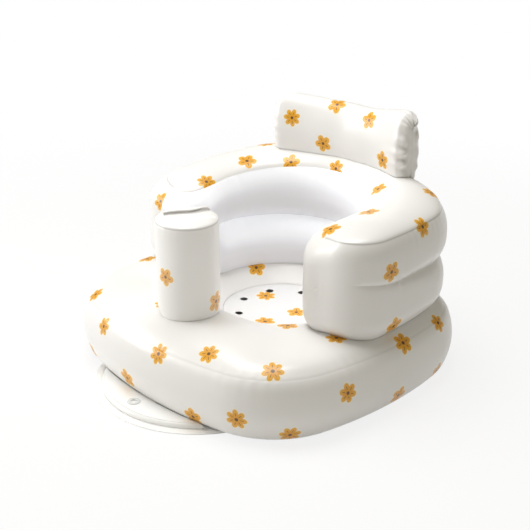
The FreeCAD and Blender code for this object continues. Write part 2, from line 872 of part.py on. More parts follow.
def valve(name, rear, up):
    deep = rear - size("valve_depth")
    flange_low = size("valve_depth") - size("flange_film")
    hole = size("stem_radius") + size("slide_gap")
    flange = turned(
        name + "_valve_flange",
        [
            (hole, flange_low),
            (size("flange_radius"), flange_low),
            (size("flange_radius"), size("valve_depth")),
            (hole, size("valve_depth")),
        ],
    )
    stem = turned(
        name + "_valve_stem",
        [
            (size("stem_bore"), size("stem_start")),
            (size("collar_radius"), size("stem_start")),
            (size("collar_radius"), size("stem_start") + 2.0),
            (size("stem_radius"), size("stem_start") + 2.0),
            (size("stem_radius"), stem_top),
            (size("stem_bore"), stem_top),
        ],
    )
    shank = size("stem_bore") - size("fit_gap")
    plug = turned(
        name + "_valve_plug",
        [
            (0.0, stem_top - size("plug_length")),
            (shank, stem_top - size("plug_length")),
            (shank, stem_top),
            (size("stem_radius") - size("slide_gap"), stem_top),
            (size("stem_radius") - size("slide_gap"), stem_top + size("plug_head")),
            (0.0, stem_top + size("plug_head")),
        ],
    )
    flap_top = size("stem_start") - size("slide_gap")
    flap = turned(
        name + "_valve_flap",
        [
            (0.0, flap_top - size("flap_film")),
            (size("stem_bore") + 1.1, flap_top - size("flap_film")),
            (size("stem_bore") + 1.1, flap_top),
            (0.0, flap_top),
        ],
    )
    for item in (flange, stem, plug, flap):
        place(item, 0.0, deep, up, rearward)


valve("base", size("base_depth") / 2.0, size("base_belly_height"))
valve(
    "back",
    size("base_depth") / 2.0 - size("back_inset"),
    size("back_crease_height") + size("back_valve_height"),
)
valve(
    "pillow",
    (size("base_depth") + size("pillow_thickness")) / 2.0
    - size("pillow_centre_back")
    - size("pillow_sag"),
    size("back_height") + size("pillow_valve_height"),
)

doc.recompute()
faults = []
for item in doc.Objects:
    if "Invalid" in item.State or "Error" in item.State:
        faults.append(item.Name + " is in a bad state")
for item in pieces:
    if item.Shape.isNull() or not item.Shape.isValid() or not item.Shape.Solids:
        faults.append(item.Label + " has no sound solid")
if faults:
    raise RuntimeError("; ".join(faults))

os.makedirs("parts", exist_ok=True)
for item in pieces:
    item.Shape.exportStep("parts/%s.step" % item.Label)
    box = item.Shape.BoundBox
    print(
        "%-22s %d %10.1f  x %7.1f %7.1f  y %7.1f %7.1f  z %7.1f %7.1f"
        % (
            item.Label,
            len(item.Shape.Solids),
            item.Shape.Volume / 1000.0,
            box.XMin,
            box.XMax,
            box.YMin,
            box.YMax,
            box.ZMin,
            box.ZMax,
        )
    )
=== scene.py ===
import bpy
import math
import numpy as np
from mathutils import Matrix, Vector
from mathutils.bvhtree import BVHTree
from mathutils.kdtree import KDTree


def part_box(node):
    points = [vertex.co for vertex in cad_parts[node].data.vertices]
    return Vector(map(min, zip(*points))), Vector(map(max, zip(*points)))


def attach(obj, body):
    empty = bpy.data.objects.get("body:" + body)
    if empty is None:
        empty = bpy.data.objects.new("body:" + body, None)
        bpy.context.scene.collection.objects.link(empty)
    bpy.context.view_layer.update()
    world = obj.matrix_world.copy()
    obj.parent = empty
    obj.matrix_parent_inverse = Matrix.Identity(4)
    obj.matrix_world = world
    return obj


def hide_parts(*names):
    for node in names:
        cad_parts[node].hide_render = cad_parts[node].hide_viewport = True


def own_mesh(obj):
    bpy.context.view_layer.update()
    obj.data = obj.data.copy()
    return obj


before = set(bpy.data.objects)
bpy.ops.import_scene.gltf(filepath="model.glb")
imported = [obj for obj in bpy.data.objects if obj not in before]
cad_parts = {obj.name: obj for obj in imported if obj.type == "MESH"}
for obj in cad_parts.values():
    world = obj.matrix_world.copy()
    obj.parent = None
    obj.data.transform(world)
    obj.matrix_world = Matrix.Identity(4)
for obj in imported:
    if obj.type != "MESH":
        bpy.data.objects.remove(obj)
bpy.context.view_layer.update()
print("frame loaded,", len(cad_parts), "nodes")

# unevenness of tight film, and the short creases beside a weld
waves = {"terms": 7, "spread": (0.7, 1.5), "seamTerms": 9, "seamSpread": (0.6, 1.5), "phase": 6.28}
puckers = {"calm": 0.35, "swell": (-0.3, 0.9), "swellWave": 9.0, "clear": 0.004, "fades": (0.020, 0.016)}
tiny = 1e-12

# sizes of the base ring, in metres, on the same plan as the solids
base = {
    "halfWide": 0.300, "halfDeep": 0.280, "bow": 0.700, "corner": 0.163, "sideCount": 56, "cornerCount": 60,
    "seamInset": 0.016, "seamUp": 0.108, "wellBack": 0.038, "rest": 0.004,
    "frontRise": 0.011, "riseAt": 0.172, "riseAhead": 0.097, "riseBehind": 0.078, "riseWide": 0.205,
    "risePower": 2.4, "riseFade": (0.42, 1.04), "pucker": (0.024, 0.0004, 21),
    "ripple": (0.0011, 0.30, 5), "rippleFrom": (0.010, 0.05), "groove": (0.0005, 0.0016),
    "weld": (0.12, 0.0016),
}
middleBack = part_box("base_ring")[0].y + base["halfDeep"]
wellCentre = np.array([0.0, middleBack + base["wellBack"]])


def smoothStep(low, high, value):
    share = np.clip((value - low) / (high - low), 0.0, 1.0)
    return share * share * (3.0 - 2.0 * share)


def lengths(rows):
    return np.linalg.norm(rows, axis=-1)


def bell(away, deep, wide):
    return deep * np.exp(-((away / wide) ** 2))


def eased(count):
    # shares from 0 to 1, closer together at both ends
    return 0.5 - 0.5 * np.cos(np.pi * np.arange(count + 1) / count)


def spline(knots, values, at):
    # natural cubic through the knots, one column per value
    knots, values, at = (np.asarray(item, float) for item in (knots, values, at))
    count = len(knots)
    gap = np.diff(knots)
    system = np.eye(count)
    right = np.zeros(values.shape)
    for i in range(1, count - 1):
        system[i, i - 1:i + 2] = gap[i - 1], 2.0 * (gap[i - 1] + gap[i]), gap[i]
        right[i] = 6.0 * ((values[i + 1] - values[i]) / gap[i] - (values[i] - values[i - 1]) / gap[i - 1])
    bend = np.linalg.solve(system, right)
    i = np.clip(np.searchsorted(knots, at) - 1, 0, count - 2)
    before, after, span = at - knots[i], knots[i + 1] - at, gap[i]
    if values.ndim > 1:
        before, after, span = before[:, None], after[:, None], span[:, None]
    return (
        (bend[i] * after**3 + bend[i + 1] * before**3) / (6.0 * span)
        + (values[i] / span - bend[i] * span / 6.0) * after
        + (values[i + 1] / span - bend[i + 1] * span / 6.0) * before
    )


def strand(keys, counts):
    # rows through the keys, with a set count of rows to each next key
    keys = np.asarray(keys, float)
    at = [i + j / n for i, n in enumerate(counts) for j in range(n)]
    return spline(np.arange(len(keys)), keys, np.array(at + [len(keys) - 1.0]))


def ripple(points, deep, wave, seed):
    # soft unevenness: a sum of sine waves in seeded directions
    source = np.random.default_rng(seed)
    total = np.zeros(len(points))
    for _ in range(waves["terms"]):
        way = source.normal(size=3)
        way *= 2.0 * math.pi / (wave * source.uniform(*waves["spread"]) * np.linalg.norm(way))
        total += np.sin(points @ way + source.uniform(0.0, waves["phase"]))
    return deep * (total / waves["terms"] ** 0.5)


def wander(length, angle, wave, seed):
    # closed seeded noise along a seam, of about the given wavelength
    source = np.random.default_rng(seed)
    middle = length / wave
    total = np.zeros(len(angle))
    for _ in range(waves["seamTerms"]):
        turns = round(middle * source.uniform(*waves["seamSpread"]))
        total += np.sin(angle * max(turns, 1) + source.uniform(0.0, waves["phase"]))
    return total / waves["seamTerms"] ** 0.5


def arcPoints(centre, radius, start, end, count):
    angle = np.radians(start + (end - start) * np.arange(count) / count)
    way = np.stack([np.cos(angle), np.sin(angle)], 1)
    return np.asarray(centre) + radius * way, way


def linePoints(start, end, share):
    start, end = np.asarray(start, float), np.asarray(end, float)
    along = (end - start) / np.linalg.norm(end - start)
    return start + (end - start) * share[:, None], np.tile([along[1], -along[0]], (len(share), 1))


def squarePlan(halfWide, halfDeep, sideBow, endBow, corner):
    # centres and angles of the rounded square of eight tangent arcs
    side, end = halfWide - sideBow, halfDeep - endBow
    span = math.hypot(side, end)
    near, far = sideBow - corner, endBow - corner
    along = (near * near - far * far + span * span) / (2.0 * span)
    rise = math.sqrt(near * near - along * along)
    stepX, stepY = -side / span, end / span
    y, x = max((along * stepY + turn * stepX, side + along * stepX - turn * stepY) for turn in (rise, -rise))
    low = math.degrees(math.atan2(y, x - side))
    high = math.degrees(math.atan2(y - end, x))
    return side, end, x, y, low, high


def squareOutline(halfWide, halfDeep, sideBow, endBow, corner, sideCount, endCount, cornerCount):
    side, end, x, y, low, high = squarePlan(halfWide, halfDeep, sideBow, endBow, corner)
    runs = []
    for sign, turn in ((1, 0), (-1, 180)):
        runs += [
            arcPoints((sign * side, 0), sideBow, turn - low, turn + low, sideCount),
            arcPoints((sign * x, sign * y), corner, turn + low, turn + high, cornerCount),
            arcPoints((0, sign * end), endBow, turn + high, turn + 180 - high, endCount),
            arcPoints((-sign * x, sign * y), corner, turn + 180 - high, turn + 180 - low, cornerCount),
        ]
    return np.concatenate([run[0] for run in runs]), np.concatenate([run[1] for run in runs])


def ringFaces(rows, around, closed=False):
    # quads between rows of a closed outline
    faces = []
    for r in range(rows if closed else rows - 1):
        low = r * around
        high = ((r + 1) % rows) * around
        for i in range(around):
            j = (i + 1) % around
            faces.append((low + i, low + j, high + j, high + i))
    return faces


def newMesh(name, points, faces):
    mesh = bpy.data.meshes.new(name)
    mesh.from_pydata([tuple(p) for p in points], [], [tuple(f) for f in faces])
    return mesh


def newObject(name, data):
    item = bpy.data.objects.new(name, data)
    bpy.context.scene.collection.objects.link(item)
    return item


def newPiece(name, points, faces, body, nodes):
    mesh = newMesh(name, points, faces)
    mesh.validate()
    mesh.update()
    piece = newObject(name, mesh)
    for polygon in mesh.polygons:
        polygon.use_smooth = True
    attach(piece, body)
    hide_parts(*nodes)
    print(name, len(points), "points")
    return piece


def newCushion(name, points, faces, nodes):
    piece = newPiece(name, points, faces, "chair", nodes)
    return piece


def treeOf(piece):
    points = [v.co.copy() for v in piece.data.vertices]
    return BVHTree.FromPolygons(points, [tuple(p.vertices) for p in piece.data.polygons])


def heightOn(tree, x, y, otherwise):
    hit = tree.ray_cast(Vector((x, y, 1.0)), Vector((0.0, 0.0, -1.0)))
    return hit[0].z if hit[0] is not None else otherwise


def markDarkLines(piece, lines):
    # a soft dark trace along lines, each a line of points with its strength and width: welds, and painted
    # shade along the post top's fold
    spots = []
    steps = 8
    for line, strength, width in lines:
        line = np.asarray(line)
        for share in np.arange(steps) / steps:
            between = line[:-1] * (1.0 - share) + line[1:] * share
            spots.append(np.column_stack([between, np.tile([strength, width], (len(between), 1))]))
    spots = np.concatenate(spots)
    near = KDTree(len(spots))
    for i, spot in enumerate(spots):
        near.insert(spot[:3], i)
    near.balance()
    trace = []
    for vertex in piece.data.vertices:
        _, i, away = near.find(vertex.co)
        trace.append(spots[i, 3] * math.exp(-((away / spots[i, 4]) ** 2)))
    piece.data.attributes.new("weld", "FLOAT", "POINT").data.foreach_set("value", trace)


def pushOut(points, faces, amount):
    # moves points along their own normals
    points = np.asarray(points, float)
    quads = np.array([f if len(f) == 4 else (f[0], f[1], f[2], f[2]) for f in faces])
    across = np.cross(points[quads[:, 2]] - points[quads[:, 0]], points[quads[:, 3]] - points[quads[:, 1]])
    normal = np.zeros(points.shape)
    for k in range(4):
        np.add.at(normal, quads[:, k], across)
    normal /= np.maximum(np.linalg.norm(normal, axis=1, keepdims=True), tiny)
    return points + normal * np.asarray(amount)[:, None]


# the three air valves at the rear: flat film under each flange, and the well that its stem slides in
valve = {
    "flat": 0.018, "fade": 0.036, "bite": 0.0003, "radius": 0.0095, "depth": 0.034, "over": 0.010,
    "sides": 48,
}
offPrint = 9.0  # a place in the print outside every blossom


def seatValve(points, name):
    low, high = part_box(name + "_valve_flange")
    middle = np.array([(low.x + high.x) / 2.0, (low.z + high.z) / 2.0])
    far = lengths(points[:, [0, 2]] - middle)
    share = 1.0 - smoothStep(valve["flat"], valve["fade"], far)
    share = np.where(points[:, 1] > low.y - valve["depth"], share, 0.0)
    points[:, 1] += (low.y + valve["bite"] - points[:, 1]) * share
    return points


def cutWell(piece, node, axis, radius, depth):
    # a round recess from the outer face of a node, straight into the piece
    low, high = (np.array(corner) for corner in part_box(node))
    count = valve["sides"]
    turn = np.linspace(0.0, 2.0 * math.pi, count, endpoint=False)
    points = np.tile((low + high) / 2.0, (2 * count, 1))
    first, second = [k for k in range(3) if k != axis]
    points[:, first] += radius * np.tile(np.cos(turn), 2)
    points[:, second] += radius * np.tile(np.sin(turn), 2)
    points[:, axis] = np.repeat([high[axis] - depth, high[axis] + valve["over"]], count)
    faces = ringFaces(2, count) + [tuple(reversed(range(count))), tuple(range(count, 2 * count))]
    if axis == 1:
        faces = [face[::-1] for face in faces]
    mesh = newMesh("well", points, faces)
    layer = mesh.uv_layers.new(name="motif")
    layer.uv.foreach_set("vector", [offPrint] * (2 * len(mesh.loops)))
    cutter = newObject("well", mesh)
    cut = piece.modifiers.new("well", "BOOLEAN")
    cut.object, cut.operation, cut.solver = cutter, "DIFFERENCE", "EXACT"
    ready = piece.evaluated_get(bpy.context.evaluated_depsgraph_get())
    whole, piece.data = piece.data, bpy.data.meshes.new_from_object(ready)
    piece.modifiers.clear()
    bpy.data.objects.remove(cutter)
    bpy.data.meshes.remove(mesh)
    bpy.data.meshes.remove(whole)
    print(piece.name, "has a well,", len(piece.data.vertices), "points")


# base ring: outer band, crowned top, round well, hollow underside
outline, outward = squareOutline(
    base["halfWide"], base["halfDeep"], base["bow"], base["bow"], base["corner"],
    base["sideCount"], base["sideCount"], base["cornerCount"],
)
outline = outline + [0.0, middleBack]
around = len(outline)
fromWell = outline - wellCentre
fromWell = fromWell / np.linalg.norm(fromWell, axis=1, keepdims=True)

# each key: share towards the well, inset from the belly, well radius, height
bandKeys = [
    (0, 0.036, 0.2, 0.000), (0, 0.0169, 0.2, 0.0057), (0, 0.0061, 0.2, 0.0217),
    (0, 0.000, 0.2, 0.057), (0, 0.0062, 0.2, 0.0927), (0, base["seamInset"], 0.2, base["seamUp"]),
]
topKeys = [
    (0, base["seamInset"], 0.2, base["seamUp"]), (0, 0.030, 0.2, 0.1178), (0.0, 0.058, 0.19, 0.1248),
    (0.5, 0.07, 0.182, 0.1256), (1, 0.08, 0.173, 0.1212), (1, 0.08, 0.157, 0.1160),
    (1, 0.08, 0.1386, 0.1050), (1, 0.08, 0.1202, 0.0885), (1, 0.08, 0.1042, 0.0735),
]
underKeys = [(1, 0.08, 0.1042, 0.0715), (1, 0.08, 0.1183, 0.0158), (1, 0.08, 0.146, 0.0)]
bandRows = strand(bandKeys, (4, 5, 8, 9, 9))
topRows = strand(topKeys, (7, 7, 8, 8, 6, 6, 6, 6))[1:]
underRows = np.concatenate([strand(underKeys, (8, 6)), [(0.5, 0.06, 0.16, 0.0)]])
profile = np.concatenate([bandRows, topRows, underRows])
seamRow = len(bandRows) - 1


def frontLift(x, y):
    # the wide front of the ring stands a little higher around the post
    ahead = y - (middleBack - base["riseAt"])
    deep = np.where(ahead < 0.0, base["riseAhead"], base["riseBehind"])
    power = base["risePower"]
    far = ((np.abs(x) / base["riseWide"]) ** power + (np.abs(ahead) / deep) ** power) ** (1.0 / power)
    return base["frontRise"] * (1.0 - smoothStep(*base["riseFade"], far))


def baseRow(share, inset, radius, up):
    outer = outline - outward * inset
    inner = wellCentre + fromWell * radius
    flat = outer * (1.0 - share) + inner * share
    return np.column_stack([flat, np.full(around, up)])


basePoints = np.concatenate([baseRow(*row) for row in profile])
baseFaces = ringFaces(len(profile), around, closed=True)
rowIndex = np.arange(len(profile))
onTop = np.repeat((rowIndex > seamRow) & (rowIndex < len(bandRows) + len(topRows)), around)
basePoints[:, 2] += np.where(onTop, frontLift(basePoints[:, 0], basePoints[:, 1]), 0.0)


def seamPucker(rows, seam, wave, depth, seed, fades=puckers["fades"]):
    # short creases that run square to a weld and die away from it
    steps = lengths(np.roll(rows[seam], -1, 0) - rows[seam])
    length = steps.sum()
    angle = 2.0 * math.pi * (np.cumsum(steps) - steps) / length
    crease = wander(length, angle, wave, seed)
    swell = smoothStep(*puckers["swell"], wander(length, angle, wave * puckers["swellWave"], seed + 1))
    swell = puckers["calm"] + (1.0 - puckers["calm"]) * swell
    total = []
    for i, row in enumerate(rows):
        away = lengths(row - rows[seam])
        fade = fades[0] if i < seam else fades[1]
        total.append(crease * swell * depth * np.exp(-away / fade) * smoothStep(0.0, puckers["clear"], away))
    return np.concatenate(total)


rowsOfBase = basePoints.reshape(len(profile), around, 3)
push = seamPucker(rowsOfBase, seamRow, *base["pucker"])
rowUp = np.repeat(profile[:, 3], around)
push += ripple(basePoints, *base["ripple"]) * smoothStep(*base["rippleFrom"], rowUp)
away = lengths(rowsOfBase - rowsOfBase[seamRow]).reshape(-1)
push -= bell(away, *base["groove"])
basePoints = seatValve(pushOut(basePoints, baseFaces, push * (rowUp > base["rest"])), "base")
baseCushion = newCushion("baseCushion", basePoints, baseFaces, ["base_ring"])
baseTree = treeOf(baseCushion)
baseWeld = basePoints.reshape(len(profile), around, 3)[seamRow]
markDarkLines(baseCushion, [(np.concatenate([baseWeld, baseWeld[:1]]), *base["weld"])])

# backrest and arms: one U outline drawn in level by level, with a domed top panel
back = {
    "inset": 0.020, "innerRadius": 0.125, "armFront": -0.070, "outerRound": 0.068, "innerRound": 0.062,
    "sideCount": 44, "cornerCount": 44, "rearCount": 36, "endCount": 18, "across": 20, "lineCount": 36,
    "roundCount": 140, "lowerCount": 34, "upperCount": 42, "faceBlend": 0.025, "rearSoft": 12,
    "crease": 0.204, "creaseLift": 0.010, "creaseDepth": 0.013, "creaseSoft": 3, "slitShare": 0.26,
    "edge": 2.4, "slitEdge": 4.0, "innerCrease": 0.195, "innerCreaseDepth": 0.028, "setBack": 0.012,
    "swellFrom": 0.5, "shelfDrop": 0.2, "shelfEdge": 1.6, "foot": 0.018, "innerFoot": 0.010, "rest": 0.119,
    "clear": 0.0004, "bulge": 0.45, "footPower": 2.6, "seam": 0.2885, "seamDroop": 0.8, "leftSeamIn": 0.034,
    "rightSeamIn": 0.010, "rearSeamIn": 0.013, "innerSeam": 0.285, "innerSeamIn": 0.024, "innerDrop": 0.005,
    "rollSpan": 0.55, "rollFrom": 0.8182, "rollPower": 2.5, "crest": 0.303, "tilt": 7.0, "bend": 0.030,
    "endReach": 0.075, "domePower": 0.62, "pucker": (0.020, 0.0005, 31, (0.016, 0.012)),
    "creasePucker": (0.024, 0.0007, 37, (0.016, 0.016)), "ripple": (0.0010, 0.22, 8), "freeRows": 12.0,
    "weld": (0.36, 0.0013),
}
# spans over which its forms change: by the way out, across the chair, and along its depth
spans = {
    "rear": (0.25, 0.95), "arms": (-0.06, 0.12), "slit": (-0.058, -0.040), "crease": (-0.035, 0.150),
    "innerCrease": (-0.035, 0.035), "edge": (0.0, 0.15), "rearLift": (0.03, 0.20), "armLift": (-0.060, 0.045),
}
acrossShare = eased(back["across"])[:-1]


def backOutline():
    halfWide, halfDeep = base["halfWide"] - back["inset"], base["halfDeep"] - back["inset"]
    bow, corner = base["bow"] - back["inset"], base["corner"] - back["inset"]
    side, end, x, y, low, high = squarePlan(halfWide, halfDeep, bow, bow, corner)
    front, outer, inner = back["armFront"], back["outerRound"], back["innerRound"]
    hole, wellBack = back["innerRadius"], base["wellBack"]
    outerY, innerX, innerY = front + outer, hole + inner, front + inner
    outerX = side + math.sqrt((bow - outer) ** 2 - outerY**2)
    turn = math.degrees(math.atan2(outerY, outerX - side))
    gap = math.hypot(outerX - innerX, outerY - innerY)
    lean = math.degrees(math.atan2(outerY - innerY, outerX - innerX))
    face = lean - math.degrees(math.acos((inner - outer) / gap))
    way = np.array([math.cos(math.radians(face)), math.sin(math.radians(face))])
    outerEnd = np.array([outerX, outerY]) + outer * way
    innerEnd = np.array([innerX, innerY]) + inner * way
    mirror = np.array([-1.0, 1.0])
    lineShare = np.arange(back["lineCount"]) / back["lineCount"]
    hollow, hollowOut = arcPoints((0, wellBack), hole, 180, 0, back["roundCount"])
    arcs = [
        (outerX, outerY, outer, face, turn, back["endCount"]), (side, 0, bow, turn, low, back["sideCount"]),
        (x, y, corner, low, high, back["cornerCount"]), (0, end, bow, high, 180 - high, back["rearCount"]),
    ]
    arcs += [(-x, y, size, 180 - till, 180 - start, count) for x, y, size, start, till, count in arcs[2::-1]]
    runs = [arcPoints(arc[:2], *arc[2:]) for arc in arcs] + [
        linePoints(outerEnd * mirror, innerEnd * mirror, acrossShare),
        arcPoints((-innerX, innerY), inner, 180 - face, 360, back["endCount"]),
        linePoints((-hole, innerY), (-hole, wellBack), lineShare),
        (hollow, -hollowOut),
        linePoints((hole, wellBack), (hole, innerY), lineShare),
        arcPoints((innerX, innerY), inner, 180, 360 + face, back["endCount"]),
        linePoints(innerEnd, outerEnd, acrossShare),
    ]
    kinds = ["outer"] * 7 + ["face"] + ["inner"] * 5 + ["face"]
    points, normals = (np.concatenate([run[k] for run in runs]) for k in range(2))
    return points, normals, np.repeat(kinds, [len(run[0]) for run in runs])


def softAround(values, spread):
    # evens a value out along the closed outline
    for _ in range(spread):
        values = (np.roll(values, 1) + values * 2.0 + np.roll(values, -1)) / 4.0
    return values


uPlan, uOut, uKind = backOutline()
uCount = len(uPlan)
outerCount = (uCount - 2 * back["across"]) // 2
depth = uPlan[:, 1]
isOuter, isInner = uKind == "outer", uKind == "inner"
# share of the inner side, which takes over across the arms' faces
along = lengths(np.roll(uPlan, -1, 0) - uPlan)
along = np.concatenate([[0.0], np.cumsum(along)])
leftFace, rightFace = along[outerCount], along[uCount - back["across"]]
faceEnd, blend = along[uCount] - rightFace, back["faceBlend"]
wrapped = np.where(along[:-1] < blend, along[:-1] + along[uCount], along[:-1])
innerSide = smoothStep(leftFace - blend, leftFace + faceEnd + blend, wrapped)
innerSide -= smoothStep(rightFace - blend, along[uCount] + blend, wrapped)
rearShare = softAround(smoothStep(*spans["rear"], uOut[:, 1]) * isOuter, back["rearSoft"])
slope = math.tan(math.radians(back["tilt"]))
tiltBack = (base["halfDeep"] - back["inset"] + back["armFront"]) / 2.0


def leanAt(x, depth):
    # the rear stands higher, the right arm runs level and the left arm droops to its end
    ahead = depth - tiltBack
    level = 0.5 * (ahead + np.sqrt(ahead * ahead + back["bend"] ** 2))
    firm = smoothStep(*spans["arms"], x)
    return slope * (ahead * (1.0 - firm) + level * firm)


firm = smoothStep(*spans["arms"], uPlan[:, 0])
lean = leanAt(uPlan[:, 0], depth)
# outside, the crease starts as a shallow slit round the corner and deepens to the rear
outerCrease = back["slitShare"] * smoothStep(*spans["slit"], depth)
outerCrease += (1.0 - back["slitShare"]) * smoothStep(*spans["crease"], depth)
innerCrease = smoothStep(*spans["innerCrease"], depth)
outerDepth = back["creaseDepth"] * outerCrease * isOuter
creaseDepth = np.where(isInner, back["innerCreaseDepth"] * innerCrease, outerDepth)
creaseDepth = softAround(creaseDepth, back["creaseSoft"])
creaseEdge = back["slitEdge"] * (1.0 - smoothStep(*spans["edge"], depth)) * (1.0 - innerSide)
creaseEdge = back["edge"] + creaseEdge
creaseLift = 2.0 - smoothStep(*spans["rearLift"], depth) - smoothStep(*spans["armLift"], depth)
outerCreaseUp = back["crease"] + back["creaseLift"] * creaseLift * firm
creaseUp = outerCreaseUp * (1.0 - innerSide) + back["innerCrease"] * innerSide
outerSeamUp = back["seam"] + back["seamDroop"] * np.minimum(lean, 0.0)
innerSeamUp = back["innerSeam"] + lean - back["innerDrop"] * firm
seamUp = outerSeamUp * (1.0 - innerSide) + innerSeamUp * innerSide
armSeamIn = back["leftSeamIn"] + (back["rightSeamIn"] - back["leftSeamIn"]) * firm
outerIn = armSeamIn + (back["rearSeamIn"] - armSeamIn) * rearShare
seamInset = outerIn * (1.0 - innerSide) + back["innerSeamIn"] * innerSide
footIn = back["foot"] + (back["innerFoot"] - back["foot"]) * innerSide
footPlan = uPlan - uOut * footIn[:, None]
footUp = [heightOn(baseTree, x, y + middleBack, back["rest"]) for x, y in footPlan]
footUp = np.array(footUp) + back["clear"]
# inside, the lower tube stands out as a rounded shelf below the crease
shelfFrom = back["swellFrom"] - back["shelfDrop"] * innerSide
shelfEdge = creaseEdge * (1.0 - innerSide) + back["shelfEdge"] * innerSide
setBack = back["setBack"] * innerSide * innerCrease
wallRows = []


def addWall(inset, up):
    wallRows.append(np.column_stack([uPlan - uOut * inset[:, None], up]))


for t in eased(back["lowerCount"]):
    swell = np.maximum((t - shelfFrom) / (1.0 - shelfFrom), 0.0) ** shelfEdge
    inset = footIn * max(1.0 - t / back["bulge"], 0.0) ** back["footPower"] + creaseDepth * swell
    addWall(inset, footUp + (creaseUp - footUp) * t)
for t in eased(back["upperCount"])[1:]:
    rolled = max(t / back["rollSpan"] - back["rollFrom"], 0.0) ** back["rollPower"]
    inset = setBack * (1.0 - rolled) + seamInset * rolled
    inset += (creaseDepth - setBack) * max(1.0 - t / back["bulge"], 0.0) ** creaseEdge
    addWall(inset, creaseUp + (seamUp - creaseUp) * t)
wallRows = np.array(wallRows)
wallRows[:, :, 1] += middleBack
rowCount = len(wallRows)
creaseIndex, seamIndex = back["lowerCount"], rowCount - 1


def stripGrid(points, first):
    # strips across the band from the outer to the inner side, ends at the arm faces
    across = back["across"]
    grid = np.zeros((outerCount + 1, across + 1), int)
    grid[:, 0] = first + np.arange(outerCount + 1)
    grid[:, across] = first + uCount - across - np.arange(outerCount + 1)
    grid[0, 1:across] = first + uCount - np.arange(1, across)
    grid[outerCount, 1:across] = first + outerCount + np.arange(1, across)
    inside = np.arange((outerCount - 1) * (across - 1)) + len(points)
    grid[1:outerCount, 1:across] = inside.reshape(outerCount - 1, across - 1)
    share = acrossShare[1:][None, :, None]
    left, right = points[grid[1:-1, 0]][:, None], points[grid[1:-1, across]][:, None]
    fill = left * (1.0 - share) + right * share
    return grid, np.concatenate([points, fill.reshape(-1, 3)])


def gridFaces(grid, flip):
    corners = np.stack([grid[:-1, :-1], grid[1:, :-1], grid[1:, 1:], grid[:-1, 1:]], -1).reshape(-1, 4)
    return [tuple(int(i) for i in (face[::-1] if flip else face)) for face in corners]


backPoints = wallRows.reshape(-1, 3)
backFaces = ringFaces(rowCount, uCount)
topGrid, backPoints = stripGrid(backPoints, seamIndex * uCount)
backFaces += gridFaces(topGrid, False)
underGrid, backPoints = stripGrid(backPoints, 0)
backFaces += gridFaces(underGrid, True)
for index in underGrid[1:-1, 1:-1].ravel():
    x, y, _ = backPoints[index]
    backPoints[index, 2] = heightOn(baseTree, x, y, back["rest"]) + back["clear"]
# the top panel stands up between its welds, most along the middle
middleLine = backPoints[topGrid].mean(1)
fromFace = np.minimum(
    lengths(middleLine - middleLine[0]), lengths(middleLine - middleLine[-1])
)
nearEnd = np.clip(fromFace / back["endReach"], 0.0, 1.0)
endRound = np.sqrt(1.0 - (1.0 - nearEnd) ** 2)
crestUp = back["crest"] + leanAt(middleLine[:, 0], middleLine[:, 1] - middleBack)
rise = (crestUp - middleLine[:, 2]) * endRound
spread = eased(back["across"])
dome = (4.0 * spread * (1.0 - spread)) ** back["domePower"]
backPoints[topGrid, 2] += rise[:, None] * dome[None, :]
gridCount = rowCount * uCount
push = np.zeros(len(backPoints))
push[:gridCount] = seamPucker(wallRows, seamIndex, *back["pucker"])
push[:gridCount] += seamPucker(wallRows, creaseIndex, *back["creasePucker"])
aboveFoot = np.ones(len(backPoints))
aboveFoot[:gridCount] = np.repeat(smoothStep(0.0, back["freeRows"], np.arange(rowCount)), uCount)
aboveFoot[underGrid[1:-1, 1:-1].ravel()] = 0.0
push += ripple(backPoints, *back["ripple"])
backPoints = seatValve(pushOut(backPoints, backFaces, push * aboveFoot), "back")
backCushion = newCushion("backCushion", backPoints, backFaces, ["backrest"])
backTree = treeOf(backCushion)
backSeam = backPoints[seamIndex * uCount:(seamIndex + 1) * uCount]
outerWeld = np.concatenate([backSeam[-back["across"]:], backSeam[:outerCount + back["across"]]])
markDarkLines(backCushion, [(outerWeld, *back["weld"])])

# head pillow: upright sections along a line that bows to the rear
pillow = {
    "half": 0.147, "middle": -0.008, "thick": 0.068, "top": 0.418, "foot": 0.284, "back": 0.231,
    "sideBow": 1.1, "endBow": 0.52, "corner": 0.39, "counts": (36, 12, 28), "rows": (4, 5, 7, 16, 16),
    "sweep": 0.034, "skew": 0.09, "straight": 0.03, "sag": 0.002, "dip": 0.008, "dipFrom": 0.04,
    "rightLift": 0.009, "liftSpan": (0.2, 1.0), "restBelow": 0.350, "clear": 0.0006,
    "caps": ((0.8, 0.0006), (0.5, 0.0016), (0.2, 0.0022)), "pole": 0.0023,
    "pleats": 25, "pleatDepth": 0.0036, "pleatReach": 0.09, "pleatPower": 1.2, "leftPleats": 0.4,
    "sway": (1.9, 3.0, 0.7), "even": 0.62, "uneven": (0.38, 5.0, 2.0),
    "rimFade": 0.8, "rimSpan": (0.014, 0.024), "ripple": (0.0009, 0.14, 14), "freeSpan": (0.300, 0.335),
    "printShare": 0.72,
}
tall, thick = pillow["top"] - pillow["foot"], pillow["thick"]
section, sectionOut = squareOutline(
    thick / 2, tall / 2, tall * pillow["sideBow"], thick * pillow["endBow"], thick * pillow["corner"],
    *pillow["counts"],
)
sectionCount = len(section)
# each key: share of the half width, inset of the section
endKeys = [(1.0, 0.0240), (0.985, 0.0140), (0.93, 0.0052), (0.82, 0.0004), (0.45, 0.0010)]
pillowKeys = [(-share, inset) for share, inset in endKeys] + [(0.0, pillow["sag"])] + endKeys[::-1]
pillowRows = strand(pillowKeys, pillow["rows"] + pillow["rows"][::-1])
pillowRows[:, 0] = np.clip(pillowRows[:, 0], -1.0, 1.0)


